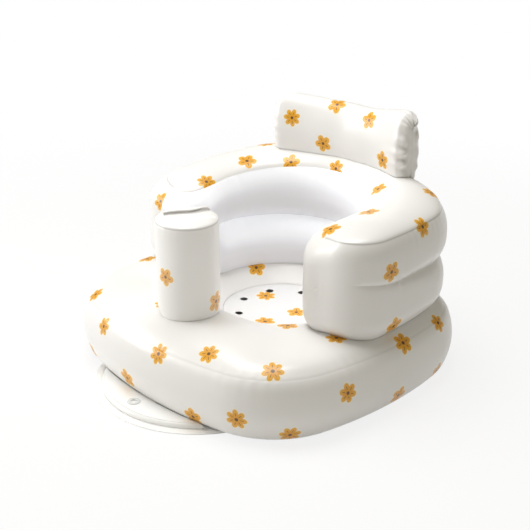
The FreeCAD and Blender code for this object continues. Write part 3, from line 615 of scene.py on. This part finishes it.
def pillowRow(share, inset):
    flat = section - sectionOut * inset
    x = pillow["middle"] + pillow["half"] * share
    skew = pillow["skew"] * x * (1.0 - math.exp(-((x / pillow["straight"]) ** 2)))
    depth = pillow["back"] - pillow["sweep"] * share * share + skew + middleBack
    middle = (pillow["top"] + pillow["foot"]) / 2.0
    return np.column_stack([np.full(sectionCount, x), flat[:, 0] + depth, flat[:, 1] + middle])


pillowGrid = np.array([pillowRow(*row) for row in pillowRows])
pillowShare = pillowRows[:, 0]
dip = pillow["dip"] * (1.0 - pillowShare ** 2)
dip -= pillow["rightLift"] * smoothStep(*pillow["liftSpan"], pillowShare)
dipSpan = pillow["foot"] + pillow["dipFrom"], pillow["top"]
pillowGrid[:, :, 2] -= dip[:, None] * smoothStep(*dipSpan, pillowGrid[:, :, 2])
for point in pillowGrid.reshape(-1, 3):
    if point[2] < pillow["restBelow"]:
        under = heightOn(backTree, point[0], point[1], 0.0)
        point[2] = max(point[2], under + pillow["clear"])
pillowPoints = pillowGrid.reshape(-1, 3)
pillowFaces = ringFaces(len(pillowRows), sectionCount)
for side, first in ((1, 0), (-1, (len(pillowRows) - 1) * sectionCount)):
    rim = pillowPoints[first:first + sectionCount]
    middle = rim.mean(0)
    rings = [first]
    for share, dome in pillow["caps"]:
        start = len(pillowPoints)
        ring = middle + (rim - middle) * share
        ring[:, 0] -= side * dome
        pillowPoints = np.concatenate([pillowPoints, ring])
        rings.append(start)
    pillowPoints = np.concatenate([pillowPoints, [middle - [side * pillow["pole"], 0.0, 0.0]]])
    for low, high in zip(rings, rings[1:]):
        for i in range(sectionCount):
            j = (i + 1) % sectionCount
            quad = (low + i, high + i, high + j, low + j)
            pillowFaces.append(quad if side > 0 else quad[::-1])
    for i in range(sectionCount):
        fan = (rings[-1] + i, len(pillowPoints) - 1, rings[-1] + (i + 1) % sectionCount)
        pillowFaces.append(fan if side > 0 else fan[::-1])
gridCount = pillowGrid.shape[0] * sectionCount
sectionAngle = np.linspace(0.0, 2.0 * math.pi, sectionCount, endpoint=False)


def swing(size, turns, start):
    return size * np.sin(sectionAngle * turns + start)


fold = np.sin(sectionAngle * pillow["pleats"] + swing(*pillow["sway"]))
fold *= pillow["even"] + swing(*pillow["uneven"])
push = np.zeros(len(pillowPoints))
endShare = np.exp(-((1.0 - np.abs(pillowShare)) / pillow["pleatReach"]) ** pillow["pleatPower"])
endShare *= np.where(pillowShare > 0.0, 1.0, pillow["leftPleats"])
endShare *= 1.0 - pillow["rimFade"] * smoothStep(*pillow["rimSpan"], pillowRows[:, 1])
push[:gridCount] = (np.outer(endShare, fold) * pillow["pleatDepth"]).reshape(-1)
push += ripple(pillowPoints, *pillow["ripple"])
push *= smoothStep(*pillow["freeSpan"], pillowPoints[:, 2])
pillowPoints = seatValve(pushOut(pillowPoints, pillowFaces, push), "pillow")
pillowCushion = newCushion("pillowCushion", pillowPoints, pillowFaces, ["head_pillow"])

# front post with its round top panel, which lies in a fold
post = {
    "radius": 0.052, "front": 0.172, "seamUp": 0.2935, "top": 0.3010, "around": 224, "slitTurn": 46.9,
    "seamShare": 0.972, "footShare": 0.97, "footIn": 0.93, "footEnd": 0.005, "rest": 0.13, "clear": 0.0004,
    "crownPower": 4.0, "crownRound": 0.55, "panelFrom": 0.0008, "panelFade": (0.043, 0.0500),
    "slitSoft": 0.0018, "slitBehind": (0.0050, 0.015), "slitAhead": (0.0022, 0.006),
    "pleat": (0.0012, 0.0022), "pleatSwell": (0.0011, 0.004), "pleatBeside": 0.006,
    "pucker": (0.016, 0.0004, 43), "ripple": (0.0008, 0.11, 17), "groove": (0.0008, 0.0016),
    "freeSpan": (0.0, 0.012), "weld": (0.39, 0.0013), "slitShade": (0.92, 0.0018),
}
postCentre = np.array([0.0, middleBack - post["front"]])
# each key: share of the radius, share of the height
postKeys = [
    (1.00, 0.000), (0.955, 0.012), (0.985, 0.10), (1.0, 0.40), (1.0, 0.75), (0.990, 0.94),
    (post["seamShare"], 1.0),
]
postRows = strand(postKeys, (4, 7, 10, 12, 8, 6))
postAngle = np.linspace(0.0, 2.0 * math.pi, post["around"], endpoint=False)
postWay = np.stack([np.cos(postAngle), np.sin(postAngle)], 1)
footRing = postCentre + postWay * post["radius"] * post["footShare"]
postFoot = np.array([heightOn(baseTree, x, y, post["rest"]) for x, y in footRing]) + post["clear"]
postGrid = []
for spread, share in postRows:
    flat = postCentre + postWay * post["radius"] * (spread if share > post["footEnd"] else post["footIn"])
    postGrid.append(np.column_stack([flat, postFoot + (post["seamUp"] - postFoot) * share]))
for share in np.concatenate([[0.966, 0.955, 0.938], np.linspace(0.915, 0.03, 58)]):
    flat = postCentre + postWay * post["radius"] * share
    crown = (1.0 - (share / post["seamShare"]) ** post["crownPower"]) ** post["crownRound"]
    rise = (post["top"] - post["seamUp"]) * crown
    postGrid.append(np.column_stack([flat, np.full(post["around"], post["seamUp"] + rise)]))
postGrid = np.array(postGrid)
postPoints = np.concatenate([postGrid.reshape(-1, 3), [[*postCentre, post["top"]]]])
postFaces = ringFaces(len(postGrid), post["around"])
last = (len(postGrid) - 1) * post["around"]
for i in range(post["around"]):
    postFaces.append((last + i, last + (i + 1) % post["around"], len(postPoints) - 1))
postFaces.append(tuple(reversed(range(post["around"]))))


def foldLine(points, route):
    # distance from a bent line on the top panel, and on which side of it
    best = np.full(len(points), 1.0)
    side = np.zeros(len(points))
    for start, end in zip(route, route[1:]):
        start, end = np.array(start), np.array(end)
        along = end - start
        share = np.clip(((points - start) @ along) / (along @ along), 0.0, 1.0)
        gap = points - (start + share[:, None] * along)
        far = lengths(gap)
        turn = np.sign(along[0] * gap[:, 1] - along[1] * gap[:, 0])
        side = np.where(far < best, turn, side)
        best = np.minimum(best, far)
    return best, side


slitTurn = math.radians(post["slitTurn"])
rightWay = np.array([math.cos(slitTurn), math.sin(slitTurn)])
awayWay = np.array([-math.sin(slitTurn), math.cos(slitTurn)])


def onPost(right, away):
    return tuple(postCentre + rightWay * right + awayWay * away)


onPanel = postPoints[:, 2] > post["seamUp"] + post["panelFrom"]
slit = [onPost(-0.036, 0.003), onPost(-0.010, 0.009), onPost(0.012, 0.013), onPost(0.034, 0.030)]
pleat = [onPost(-0.022, -0.016), onPost(0.010, -0.012), onPost(0.042, -0.005)]
slitLine = spline(np.arange(4.0), np.array(slit), np.linspace(0.0, 3.0, 40))
slitAway, side = foldLine(postPoints[:, :2], slitLine)
behind = smoothStep(-post["slitSoft"], post["slitSoft"], side * slitAway)
change = behind * bell(slitAway, *post["slitBehind"]) - (1.0 - behind) * bell(slitAway, *post["slitAhead"])
pleatAway, _ = foldLine(postPoints[:, :2], pleat)
change += bell(pleatAway - post["pleatBeside"], *post["pleatSwell"]) - bell(pleatAway, *post["pleat"])
fromMiddle = lengths(postPoints[:, :2] - postCentre)
change *= 1.0 - smoothStep(*post["panelFade"], fromMiddle)
postPoints[:, 2] += np.where(onPanel, change, 0.0)
postSeam = len(postRows) - 1
push = np.zeros(len(postPoints))
push[:-1] = seamPucker(postGrid, postSeam, *post["pucker"])
push += ripple(postPoints, *post["ripple"])
away = lengths(postGrid - postGrid[postSeam]).reshape(-1)
push[:-1] -= bell(away, *post["groove"])
push *= smoothStep(*post["freeSpan"], postPoints[:, 2] - postFoot.max())
postPoints = pushOut(postPoints, postFaces, push)
postCushion = newCushion("postCushion", postPoints, postFaces, ["front_post", "post_top"])
postTree = treeOf(postCushion)
postWeld = postPoints[postSeam * post["around"]:(postSeam + 1) * post["around"]]
postWeld = np.concatenate([postWeld, postWeld[:1]])
# a dark line painted along the top panel's fold: painted shade where the raised side steps down
slitShade = [(x, y, heightOn(postTree, x, y, post["top"])) for x, y in slitLine]
markDarkLines(postCushion, [(postWeld, *post["weld"]), (slitShade, *post["slitShade"])])

# floor film of the well, with real drain holes
floor = {
    "radius": 0.1042, "up": 0.072, "film": 0.001, "sag": 0.0035, "ripple": (0.0006, 0.06, 23),
    "holes": 8, "holeCircle": 0.078, "holeRadius": 0.0068, "turn": -73.0, "inner": 0.060, "outer": 0.096,
    "lip": 0.100, "rim": 12, "rings": 5, "ringPower": 1.4, "bands": (1.0, 0.8, 0.6, 0.4, 0.2),
}


def floorHeight(flat):
    fromRim = lengths(flat) / floor["radius"]
    points = np.column_stack([flat, np.zeros(len(flat))])
    uneven = ripple(points, *floor["ripple"]) * (1.0 - fromRim)
    return floor["up"] + floor["film"] - floor["sag"] * (1.0 - fromRim ** 2) + uneven


def floorFilm():
    points, faces, known = [], [], {}

    def spot(x, y):
        key = (round(x, 6), round(y, 6))
        if key not in known:
            known[key] = len(points)
            points.append((x, y))
        return known[key]

    def polar(radius, angle):
        return radius * math.cos(angle), radius * math.sin(angle)

    def bridge(loops, flip=False):
        for low, high in zip(loops, loops[1:]):
            for i in range(len(low)):
                j = (i + 1) % len(low)
                a, b = (j, i) if flip else (i, j)
                faces.append((low[a], low[b], high[b], high[a]))

    step = 2.0 * math.pi / floor["holes"]
    count = floor["rim"]
    near, far = floor["inner"], floor["outer"]
    wide = far - near
    for k in range(floor["holes"]):
        mid = math.radians(floor["turn"]) + step * k
        left, right = mid - step / 2, mid + step / 2
        edge = [(near, left + step * i / count) for i in range(count)]
        edge += [(near + wide * i / count, right) for i in range(count)]
        edge += [(far, right - step * i / count) for i in range(count)]
        edge += [(far - wide * i / count, left) for i in range(count)]
        centre = np.array(polar(floor["holeCircle"], mid))
        border = np.array([polar(*item) for item in edge])
        way = border - centre
        way = way / np.linalg.norm(way, axis=1, keepdims=True)
        loops = []
        for r in range(floor["rings"] + 1):
            share = (r / floor["rings"]) ** floor["ringPower"]
            ring = (centre + way * floor["holeRadius"]) * (1.0 - share) + border * share
            loops.append([spot(*p) for p in ring])
        bridge(loops)
    total = floor["holes"] * count
    start = math.radians(floor["turn"]) - step / 2
    turns = [start + 2.0 * math.pi * i / total for i in range(total)]
    loops = [[spot(*polar(near * band, a)) for a in turns] for band in floor["bands"]]
    bridge(loops)
    pole = spot(0.0, 0.0)
    for i in range(total):
        faces.append((loops[-1][i], loops[-1][(i + 1) % total], pole))
    rims = far, floor["lip"], floor["radius"]
    bridge([[spot(*polar(radius, a)) for a in turns] for radius in rims], True)
    return np.array(points), faces


flat, floorFaces = floorFilm()
floorPoints = np.column_stack([flat + wellCentre, floorHeight(flat)])
seatFloor = newPiece("floorFilm", floorPoints, floorFaces, "chair", ["seat_floor"])
sheet = seatFloor.modifiers.new("film", "SOLIDIFY")
sheet.thickness = floor["film"]
sheet.offset = -1.0

# pump pad under the front: welded film, lifted pocket and foam
pump = {
    "reach": 0.053, "round": 0.184, "margin": 0.014, "film": 0.0008, "high": 0.010, "travel": 0.005,
    "pocketClear": 0.012, "edgeClear": 0.02484, "bore": 0.005, "boreDepth": 0.004, "sideCount": 96,
    "steps": 10, "wave": 0.05, "waveSeed": 29, "edgeFade": 0.02, "boreFade": (2.6, 6.0),
}
padCentre = middleBack - base["halfDeep"] - pump["reach"] + pump["round"]
bowCentre = middleBack + base["bow"] - base["halfDeep"]
eyeletCentre = np.array(sum(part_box("pump_intake_eyelet"), Vector()))[:2] / 2.0


def crescent(front, rear):
    # front round and rear bow, met at two tips
    count = pump["sideCount"]
    gap = bowCentre - padCentre
    meetY = (front * front - rear * rear + gap * gap) / (2.0 * gap)
    meetX = math.sqrt(front * front - meetY * meetY)
    start = math.degrees(math.atan2(meetY, -meetX))
    end = math.degrees(math.atan2(meetY, meetX))
    ahead, _ = arcPoints((0, padCentre), front, start + 360 if start < 0 else start, end + 360, count)
    start = math.degrees(math.atan2(meetY - gap, meetX))
    end = math.degrees(math.atan2(meetY - gap, -meetX))
    behind, _ = arcPoints((0, bowCentre), rear, start, end, count)
    return np.concatenate([ahead, behind])


def zipLoop(points, faces, first, count, steps, flip):
    # closes a crescent by quads between its two sides
    half = count // 2
    strips = [[first] * (steps + 1)]
    points = list(points)
    for k in range(1, half):
        left, right = points[first + k], points[first + count - k]
        strip = [first + k]
        for share in np.arange(1, steps) / steps:
            points.append(left * (1.0 - share) + right * share)
            strip.append(len(points) - 1)
        strips.append(strip + [first + count - k])
    strips.append([first + half] * (steps + 1))
    for low, high in zip(strips, strips[1:]):
        for s in range(steps):
            face = tuple(dict.fromkeys((low[s], high[s], high[s + 1], low[s + 1])))
            if len(face) > 2:
                faces.append(face[::-1] if flip else face)
    return np.array(points), faces


def padLevels(name, levels, body, nodes, uneven=0.0):
    # a closed pad of stacked crescents, each a front radius, a rear radius and a height, with an uneven top
    around = 2 * pump["sideCount"]
    loops = [np.column_stack([crescent(front, rear), np.full(around, up)]) for front, rear, up in levels]
    points = np.concatenate(loops)
    faces = ringFaces(len(loops), around)
    points, faces = zipLoop(points, faces, (len(loops) - 1) * around, around, pump["steps"], False)
    points, faces = zipLoop(points, faces, 0, around, 2, True)
    inner = points[:, 2] > levels[-1][2] - 1e-6
    fromEdge = levels[-1][0] - lengths(points[:, :2] - [0.0, padCentre])
    fromBore = lengths(points[:, :2] - eyeletCentre) / pump["bore"]
    fade = smoothStep(0.0, pump["edgeFade"], fromEdge) * smoothStep(*pump["boreFade"], fromBore)
    points[:, 2] += np.where(inner, ripple(points, uneven, pump["wave"], pump["waveSeed"]) * fade, 0.0)
    return newPiece(name, points, faces, body, nodes)


rearEdge = base["bow"] - pump["edgeClear"]
rearPocket = base["bow"] - pump["pocketClear"]
pocket = pump["round"] - pump["margin"]
film = pump["film"]
pumpFilm = padLevels(
    "pumpFilm",
    [(pump["round"] - 0.0005, rearEdge, 0.0), (pump["round"], rearEdge, film * 0.6),
     (pump["round"], rearEdge, film * 1.5), (pump["round"] - 0.0006, rearEdge, film * 2.0),
     (pocket - 0.0070, rearPocket + 0.0070, film * 2.0), (pocket - 0.0071, rearPocket + 0.0071, film)],
    "chair", ["pump_bottom_film", "pump_weld_margin"],
)
skirtLow, skirtHigh = film * 2.0, pump["high"] - film
skirtKeys = [
    (pocket - 0.0080, rearPocket + 0.0080, film + 0.0001),
    (pocket - 0.0072, rearPocket + 0.0072, skirtLow + 0.0001),
    (pocket, rearPocket, skirtLow + 0.0001), (pocket - 0.0008, rearPocket, 0.0045),
    (pocket - 0.0030, rearPocket, 0.0078), (pocket - 0.0052, rearPocket + 0.0012, skirtHigh),
]
pumpSkirt = padLevels("pumpSkirt", skirtKeys, "chair", ["pump_skirt", "pump_foam_core"])
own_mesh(pumpSkirt)
padKeys = [
    (pocket - 0.0054, rearPocket + 0.0014, skirtHigh),
    (pocket - 0.0066, rearPocket + 0.0018, pump["high"] - 0.0003),
    (pocket - 0.0090, rearPocket + 0.0026, pump["high"]),
]
pumpPad = padLevels("pumpPad", padKeys, "pump_pad", ["pump_press_pad"], 0.0004)


class Tap:
    # one output of a node, with arithmetic that adds Math nodes
    def __init__(self, paint, socket):
        self.paint = paint
        self.socket = socket

    def math(self, operation, *others):
        return self.paint.add("Math", {"operation": operation}, dict(enumerate((self,) + others)))

    def __add__(self, other):
        return self.math("ADD", other)

    def __mul__(self, other):
        return self.math("MULTIPLY", other)

    def __sub__(self, other):
        return self.math("SUBTRACT", other)

    def __rsub__(self, other):
        return self.paint.add("Math", {"operation": "SUBTRACT"}, {0: other, 1: self})

    def __pow__(self, other):
        return self.math("POWER", other)

    def __abs__(self):
        return self.math("ABSOLUTE")

    __radd__ = __add__
    __rmul__ = __mul__

    def ease(self, low, high):
        sockets = {"Value": self, "From Min": low, "From Max": high}
        return self.paint.add("MapRange", {"interpolation_type": "SMOOTHSTEP"}, sockets)


class Paint:
    # a material and its nodes
    def __init__(self, name, **constants):
        self.material = bpy.data.materials.new(name)
        self.material.use_nodes = True
        self.tree = self.material.node_tree
        self.shader = self.tree.nodes["Principled BSDF"]
        self.set(**constants)

    def put(self, socket, amount):
        if isinstance(amount, Tap):
            self.tree.links.new(amount.socket, socket)
        else:
            socket.default_value = amount

    def add(self, kind, settings=None, sockets=None, out=0):
        node = self.tree.nodes.new("ShaderNode" + kind)
        for key, amount in (settings or {}).items():
            setattr(node, key, amount)
        for key, amount in (sockets or {}).items():
            self.put(node.inputs[key], amount)
        return Tap(self, node.outputs[out])

    def part(self, source, index):
        return self.add("SeparateXYZ", None, {0: source}, index)

    def mix(self, share, first, second):
        return self.add("Mix", {"data_type": "RGBA"}, {0: share, 6: first, 7: second}, 2)

    def grain(self, scale, detail):
        where = self.add("TexCoord", out=3)
        return self.add("TexNoise", None, {"Scale": scale, "Detail": detail, "Vector": where})

    def set(self, **links):
        for key, amount in links.items():
            self.put(self.shader.inputs[key.replace("_", " ")], amount)


def rgb(red, green, blue):
    return (red, green, blue, 1.0)


# scattered blossoms: inks, and the drawing in shares of a blossom's radius
motif = {
    "radius": 0.0175, "petals": (5, 5, 6, 7), "petal": rgb(0.76, 0.35, 0.022), "tip": rgb(0.82, 0.43, 0.045),
    "halo": rgb(0.93, 0.84, 0.62), "brown": rgb(0.075, 0.036, 0.018), "weld": rgb(0.06, 0.05, 0.035),
    "waist": 0.56, "lobe": 0.40, "lobePower": 0.75, "haloWide": 0.10, "heart": 0.17,
    "stroke": 0.075, "strokeFrom": 0.34, "strokeTo": 0.66,
}
grit = {"cloud": 9.0, "wobble": 420.0, "fine": 700.0, "coarse": 60.0, "bump": 0.12, "bumpDeep": 0.0012}


def printed(paint, tone):
    place = paint.add("UVMap", {"uv_map": "motif"})
    x = paint.part(place, 0)
    y = paint.part(place, 1)
    petals = paint.add("Attribute", {"attribute_name": "petals"}, out=2)
    far = (x * x + y * y) ** 0.5
    turn = y.math("ARCTAN2", x) * petals * 0.5
    lobe = abs(turn.math("COSINE"))
    rim = motif["waist"] + motif["lobe"] * lobe ** motif["lobePower"]
    wobble = (paint.grain(grit["wobble"], 1.0) - 0.5) * 0.05
    inside = (rim + wobble - far).ease(-0.02, 0.03)
    halo = (rim + motif["haloWide"] - far).ease(-0.08, 0.06)
    heart = (motif["heart"] + wobble - far).ease(-0.02, 0.025)
    stroke = (motif["stroke"] - abs(turn.math("SINE")) * far).ease(-0.02, 0.02)
    stroke = stroke * (far - motif["strokeFrom"]).ease(-0.02, 0.03)
    stroke = stroke * (motif["strokeTo"] - far).ease(-0.02, 0.03) * lobe.ease(0.3, 0.5)
    leaf = paint.mix(far.ease(0.3, 0.9), motif["petal"], motif["tip"])
    tone = paint.mix(halo * 0.75, tone, motif["halo"])
    tone = paint.mix(inside, tone, leaf)
    tone = paint.mix(heart.math("MAXIMUM", stroke) * 0.92, tone, motif["brown"])
    # dark lines: welds, and painted shade along the post top's fold
    weld = paint.add("Attribute", {"attribute_name": "weld"}, out=2)
    return paint.mix(weld, tone, motif["weld"])


def paintedSkyGlow(paint, glow):
    # painted light: a glow painted on what faces up, above and below the inner crease, standing in for light
    # that comes down through the film
    normal = paint.add("NewGeometry", out=1)
    upward = paint.part(normal, 2)
    spot = paint.add("NewGeometry")
    height = paint.part(spot, 2)
    below = (back["innerCrease"] - height).ease(-0.006, 0.004)
    share = upward.ease(0.20, 0.60) * below + upward.ease(-0.08, 0.40) * (1.0 - below) * 0.66
    return paint.mix(share, rgb(0.0, 0.0, 0.0), glow)


def vinyl(name, colour, dust, roughness, carriesPrint=False, paintedGlow=0.0, paintsSkyGlow=False):
    # paintedGlow is painted light: an even emission that brightens the film beyond what the lamps give
    paint = Paint(name, Coat_Weight=0.18, Coat_Roughness=0.12, IOR=1.48, Emission_Strength=paintedGlow)
    # with paintsSkyGlow, the emission colour is painted light on what faces up
    glow = paintedSkyGlow(paint, rgb(0.90, 0.95, 1.0)) if paintsSkyGlow else rgb(1.0, 0.985, 0.96)
    cloud = paint.grain(grit["cloud"], 3.0)
    tone = paint.mix(cloud.ease(0.35, 0.75) * 0.5, colour, dust)
    if carriesPrint:
        tone = printed(paint, tone)
    paint.set(Base_Color=tone, Roughness=roughness + 0.10 * cloud, Emission_Color=glow)
    fine = paint.grain(grit["fine"], 2.0) * 0.25 + paint.grain(grit["coarse"], 3.0)
    relief = {"Height": fine, "Strength": grit["bump"], "Distance": grit["bumpDeep"]}
    paint.set(Normal=paint.add("Bump", None, relief))
    return paint.material


white = rgb(0.87, 0.86, 0.85), rgb(0.85, 0.838, 0.822)
lilac = rgb(0.84, 0.845, 0.885), rgb(0.82, 0.825, 0.865)
whiteVinyl = vinyl("printedVinyl", *white, 0.30, True)
# the lilac, post and pump films carry a painted glow
lilacVinyl = vinyl("lilacVinyl", *lilac, 0.30, paintedGlow=0.38, paintsSkyGlow=True)
postVinyl = vinyl("postVinyl", *white, 0.30, True, paintedGlow=0.09)
floorVinyl = vinyl("floorVinyl", rgb(0.80, 0.80, 0.80), rgb(0.77, 0.77, 0.775), 0.34, True)
pumpVinyl = vinyl("pumpVinyl", rgb(0.88, 0.88, 0.87), rgb(0.86, 0.86, 0.85), 0.34, paintedGlow=0.03)
clearVinyl = vinyl("valveVinyl", rgb(0.70, 0.73, 0.74), rgb(0.64, 0.67, 0.69), 0.20)
cushions = {"base": baseCushion, "back": backCushion, "pillow": pillowCushion}
valveSpots = [np.array(sum(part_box(name + "_valve_flange"), Vector())) / 2.0 for name in cushions]


def readAll(items, key, width=1, kind=float):
    values = np.zeros(len(items) * width, kind)
    items.foreach_get(key, values)
    return values.reshape(-1, width) if width > 1 else values


def printOn(piece, seed, spacing, allowed):
    # places are drawn by a seeded spread, each with its own turn
    mesh = piece.data
    draw = np.random.default_rng(seed)
    radius = motif["radius"]
    centres, normals = (readAll(mesh.polygons, key, 3) for key in ("center", "normal"))
    chosen = []
    for index in draw.permutation(np.flatnonzero(allowed(centres))):
        gaps = [np.linalg.norm(centres[index] - centres[k]) for k in chosen]
        if all(gap > spacing * draw.uniform(0.95, 1.1) for gap in gaps):
            chosen.append(index)
    uv = np.full((len(mesh.loops), 2), offPrint)
    petals = np.full(len(mesh.polygons), 5.0)
    starts, totals = (readAll(mesh.polygons, key, 1, int) for key in ("loop_start", "loop_total"))
    corners = readAll(mesh.loops, "vertex_index", 1, int)
    places = readAll(mesh.vertices, "co", 3)
    for index in chosen:
        normal = normals[index]
        first = np.cross(normal, [0.31, 0.17, 0.93])
        first /= np.linalg.norm(first)
        second = np.cross(normal, first)
        turn = draw.uniform(0.0, 2.0 * math.pi)
        across = first * math.cos(turn) + second * math.sin(turn)
        upward = np.cross(normal, across)
        reach = radius * draw.uniform(0.92, 1.08)
        kind = float(draw.choice(motif["petals"]))
        close = np.flatnonzero(
            (lengths(centres - centres[index]) < radius * 1.7) & (normals @ normal > 0.2)
        )
        if any(np.linalg.norm(centres[index] - spot) < radius + valve["flat"] for spot in valveSpots):
            continue  # the print leaves the valves free
        if piece is backCushion and abs(centres[index][2] - back["crease"]) < 0.8 * radius:
            continue  # and the deep crease round the waist
        petals[close] = kind
        for face in close:
            for loop in range(starts[face], starts[face] + totals[face]):
                gap = places[corners[loop]] - centres[index]
                uv[loop] = gap @ across / reach, gap @ upward / reach
    layer = mesh.uv_layers.new(name="motif")
    layer.uv.foreach_set("vector", uv.ravel())
    kindOf = mesh.attributes.new("petals", "FLOAT", "FACE")
    kindOf.data.foreach_set("value", petals)
    print(piece.name, "carries", len(chosen), "blossoms")


def dress(piece, *materials):
    piece.data.materials.clear()
    for material in materials:
        piece.data.materials.append(material)


for piece in (baseCushion, pillowCushion):
    dress(piece, whiteVinyl)
for piece in (pumpFilm, pumpSkirt, pumpPad):
    dress(piece, pumpVinyl)
dress(backCushion, whiteVinyl, lilacVinyl)
dress(postCushion, postVinyl)
dress(seatFloor, floorVinyl)
for node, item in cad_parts.items():
    if node.startswith("pump_"):
        dress(item, pumpVinyl)
    if "_valve_" in node or "eyelet" in node or "flap" in node:
        dress(item, clearVinyl)
lilacEdge = back["endCount"] * 5 // 8
lilacFirst, lilacLast = outerCount + back["across"] // 2, uCount - back["across"] - lilacEdge
for face in backCushion.data.polygons:
    index = face.vertices[0]
    if index < seamIndex * uCount and lilacFirst <= index % uCount < lilacLast:
        face.material_index = 1
facing = np.array([face.material_index for face in backCushion.data.polygons])


def fromCentre(spot):
    return lengths(spot[:, :2] - wellCentre)


def offEnds(spot):
    # the print stays off the pillow's gathered ends
    return np.abs(spot[:, 0] - pillow["middle"]) < pillow["printShare"] * pillow["half"]


printOn(baseCushion, 3, 0.084, lambda spot: (spot[:, 2] > 0.016) & (fromCentre(spot) > 0.108))
printOn(backCushion, 5, 0.080, lambda spot: (facing == 0) & (spot[:, 2] > 0.125))
printOn(pillowCushion, 59, 0.070, lambda spot: (spot[:, 2] > 0.325) & offEnds(spot))
printOn(postCushion, 4, 0.080, lambda spot: (spot[:, 2] > 0.155) & (spot[:, 2] < 0.268))
printOn(seatFloor, 6, 0.070, lambda spot: fromCentre(spot) < 0.062)
for name, piece in cushions.items():
    cutWell(piece, name + "_valve_flange", 1, valve["radius"], valve["depth"])
cutWell(pumpPad, "pump_intake_eyelet", 2, pump["bore"], pump["boreDepth"])

# stage, light and camera
stage = {"size": 40.0, "white": 0.86, "show": 0.82, "sky": rgb(1.0, 0.94, 0.78), "skyPower": 0.305}
lamps = {
    "overhead": {"place": (-0.3, -0.1, 2.2), "power": 35.0, "size": 1.2},
    "keyLeft": {"place": (-1.8, -1.5, 1.0), "power": 29.0, "size": 1.2},
}
lampAim = Vector((0.0, 0.03, 0.15))
view = {
    "turn": 46.9, "rise": 22.7, "far": 1.834, "lens": 71.7, "sensor": 36.0, "clip": 50.0,
    "aim": (-0.0007, middleBack - 0.0013, 0.1660),
}


def makeStage():
    half = stage["size"] / 2.0
    corners = [(-half, -half, 0.0), (half, -half, 0.0), (half, half, 0.0), (-half, half, 0.0)]
    ground = newObject("stageFloor", newMesh("stageFloor", corners, [(0, 1, 2, 3)]))
    paint = Paint("stageWhite", Roughness=0.9)
    paint.set(Base_Color=rgb(*[stage["white"]] * 3))
    glow = paint.add("Emission", None, {"Color": rgb(1, 1, 1), "Strength": 1.0})
    seen = paint.add("LightPath")
    glossy = paint.add("LightPath", out=3)
    spot = paint.add("NewGeometry")
    x = paint.part(spot, 0)
    y = paint.part(spot, 1) - float(wellCentre[1])
    far = (x * x + y * y) ** 0.5
    show = stage["show"] + (1.0 - stage["show"]) * far.ease(0.5, 1.6)
    share = seen.math("MAXIMUM", glossy) * show * far.ease(0.15, 0.155)
    mixed = {0: share, 1: Tap(paint, paint.shader.outputs[0]), 2: glow}
    mixed = paint.add("MixShader", None, mixed)
    paint.put(paint.tree.nodes["Material Output"].inputs["Surface"], mixed)
    dress(ground, paint.material)


def softLamp(name, place, power, size):
    data = bpy.data.lights.new(name, "AREA")
    data.shape = "RECTANGLE"
    data.size = data.size_y = size
    data.energy = power
    lamp = newObject(name, data)
    lamp.location = place
    lamp.rotation_euler = (lampAim - Vector(place)).to_track_quat("-Z", "Y").to_euler()


def makeWorld():
    world = bpy.data.worlds.new("studio")
    world.use_nodes = True
    nodes, links = world.node_tree.nodes, world.node_tree.links
    dim, bright = nodes["Background"], nodes.new("ShaderNodeBackground")
    dim.inputs["Color"].default_value = stage["sky"]
    dim.inputs["Strength"].default_value = stage["skyPower"]
    bright.inputs["Color"].default_value = rgb(1, 1, 1)
    mixed = nodes.new("ShaderNodeMixShader")
    sources = nodes.new("ShaderNodeLightPath"), dim, bright
    for node, socket in zip(sources, mixed.inputs):
        links.new(node.outputs[0], socket)
    links.new(mixed.outputs[0], nodes["World Output"].inputs["Surface"])
    bpy.context.scene.world = world


def makeCamera():
    data = bpy.data.cameras.new("camera")
    data.lens = view["lens"]
    data.sensor_width = view["sensor"]
    data.clip_end = view["clip"]
    eye = newObject("camera", data)
    turn, rise = math.radians(view["turn"]), math.radians(view["rise"])
    way = Vector((math.sin(turn) * math.cos(rise), -math.cos(turn) * math.cos(rise), math.sin(rise)))
    eye.location = Vector(view["aim"]) + way * view["far"]
    eye.rotation_euler = (-way).to_track_quat("-Z", "Y").to_euler()
    bpy.context.scene.camera = eye


makeStage()
makeWorld()
makeCamera()
for name, item in lamps.items():
    softLamp(name, **item)
bpy.context.scene.view_settings.view_transform = "Standard"
print("stage, light and camera set")
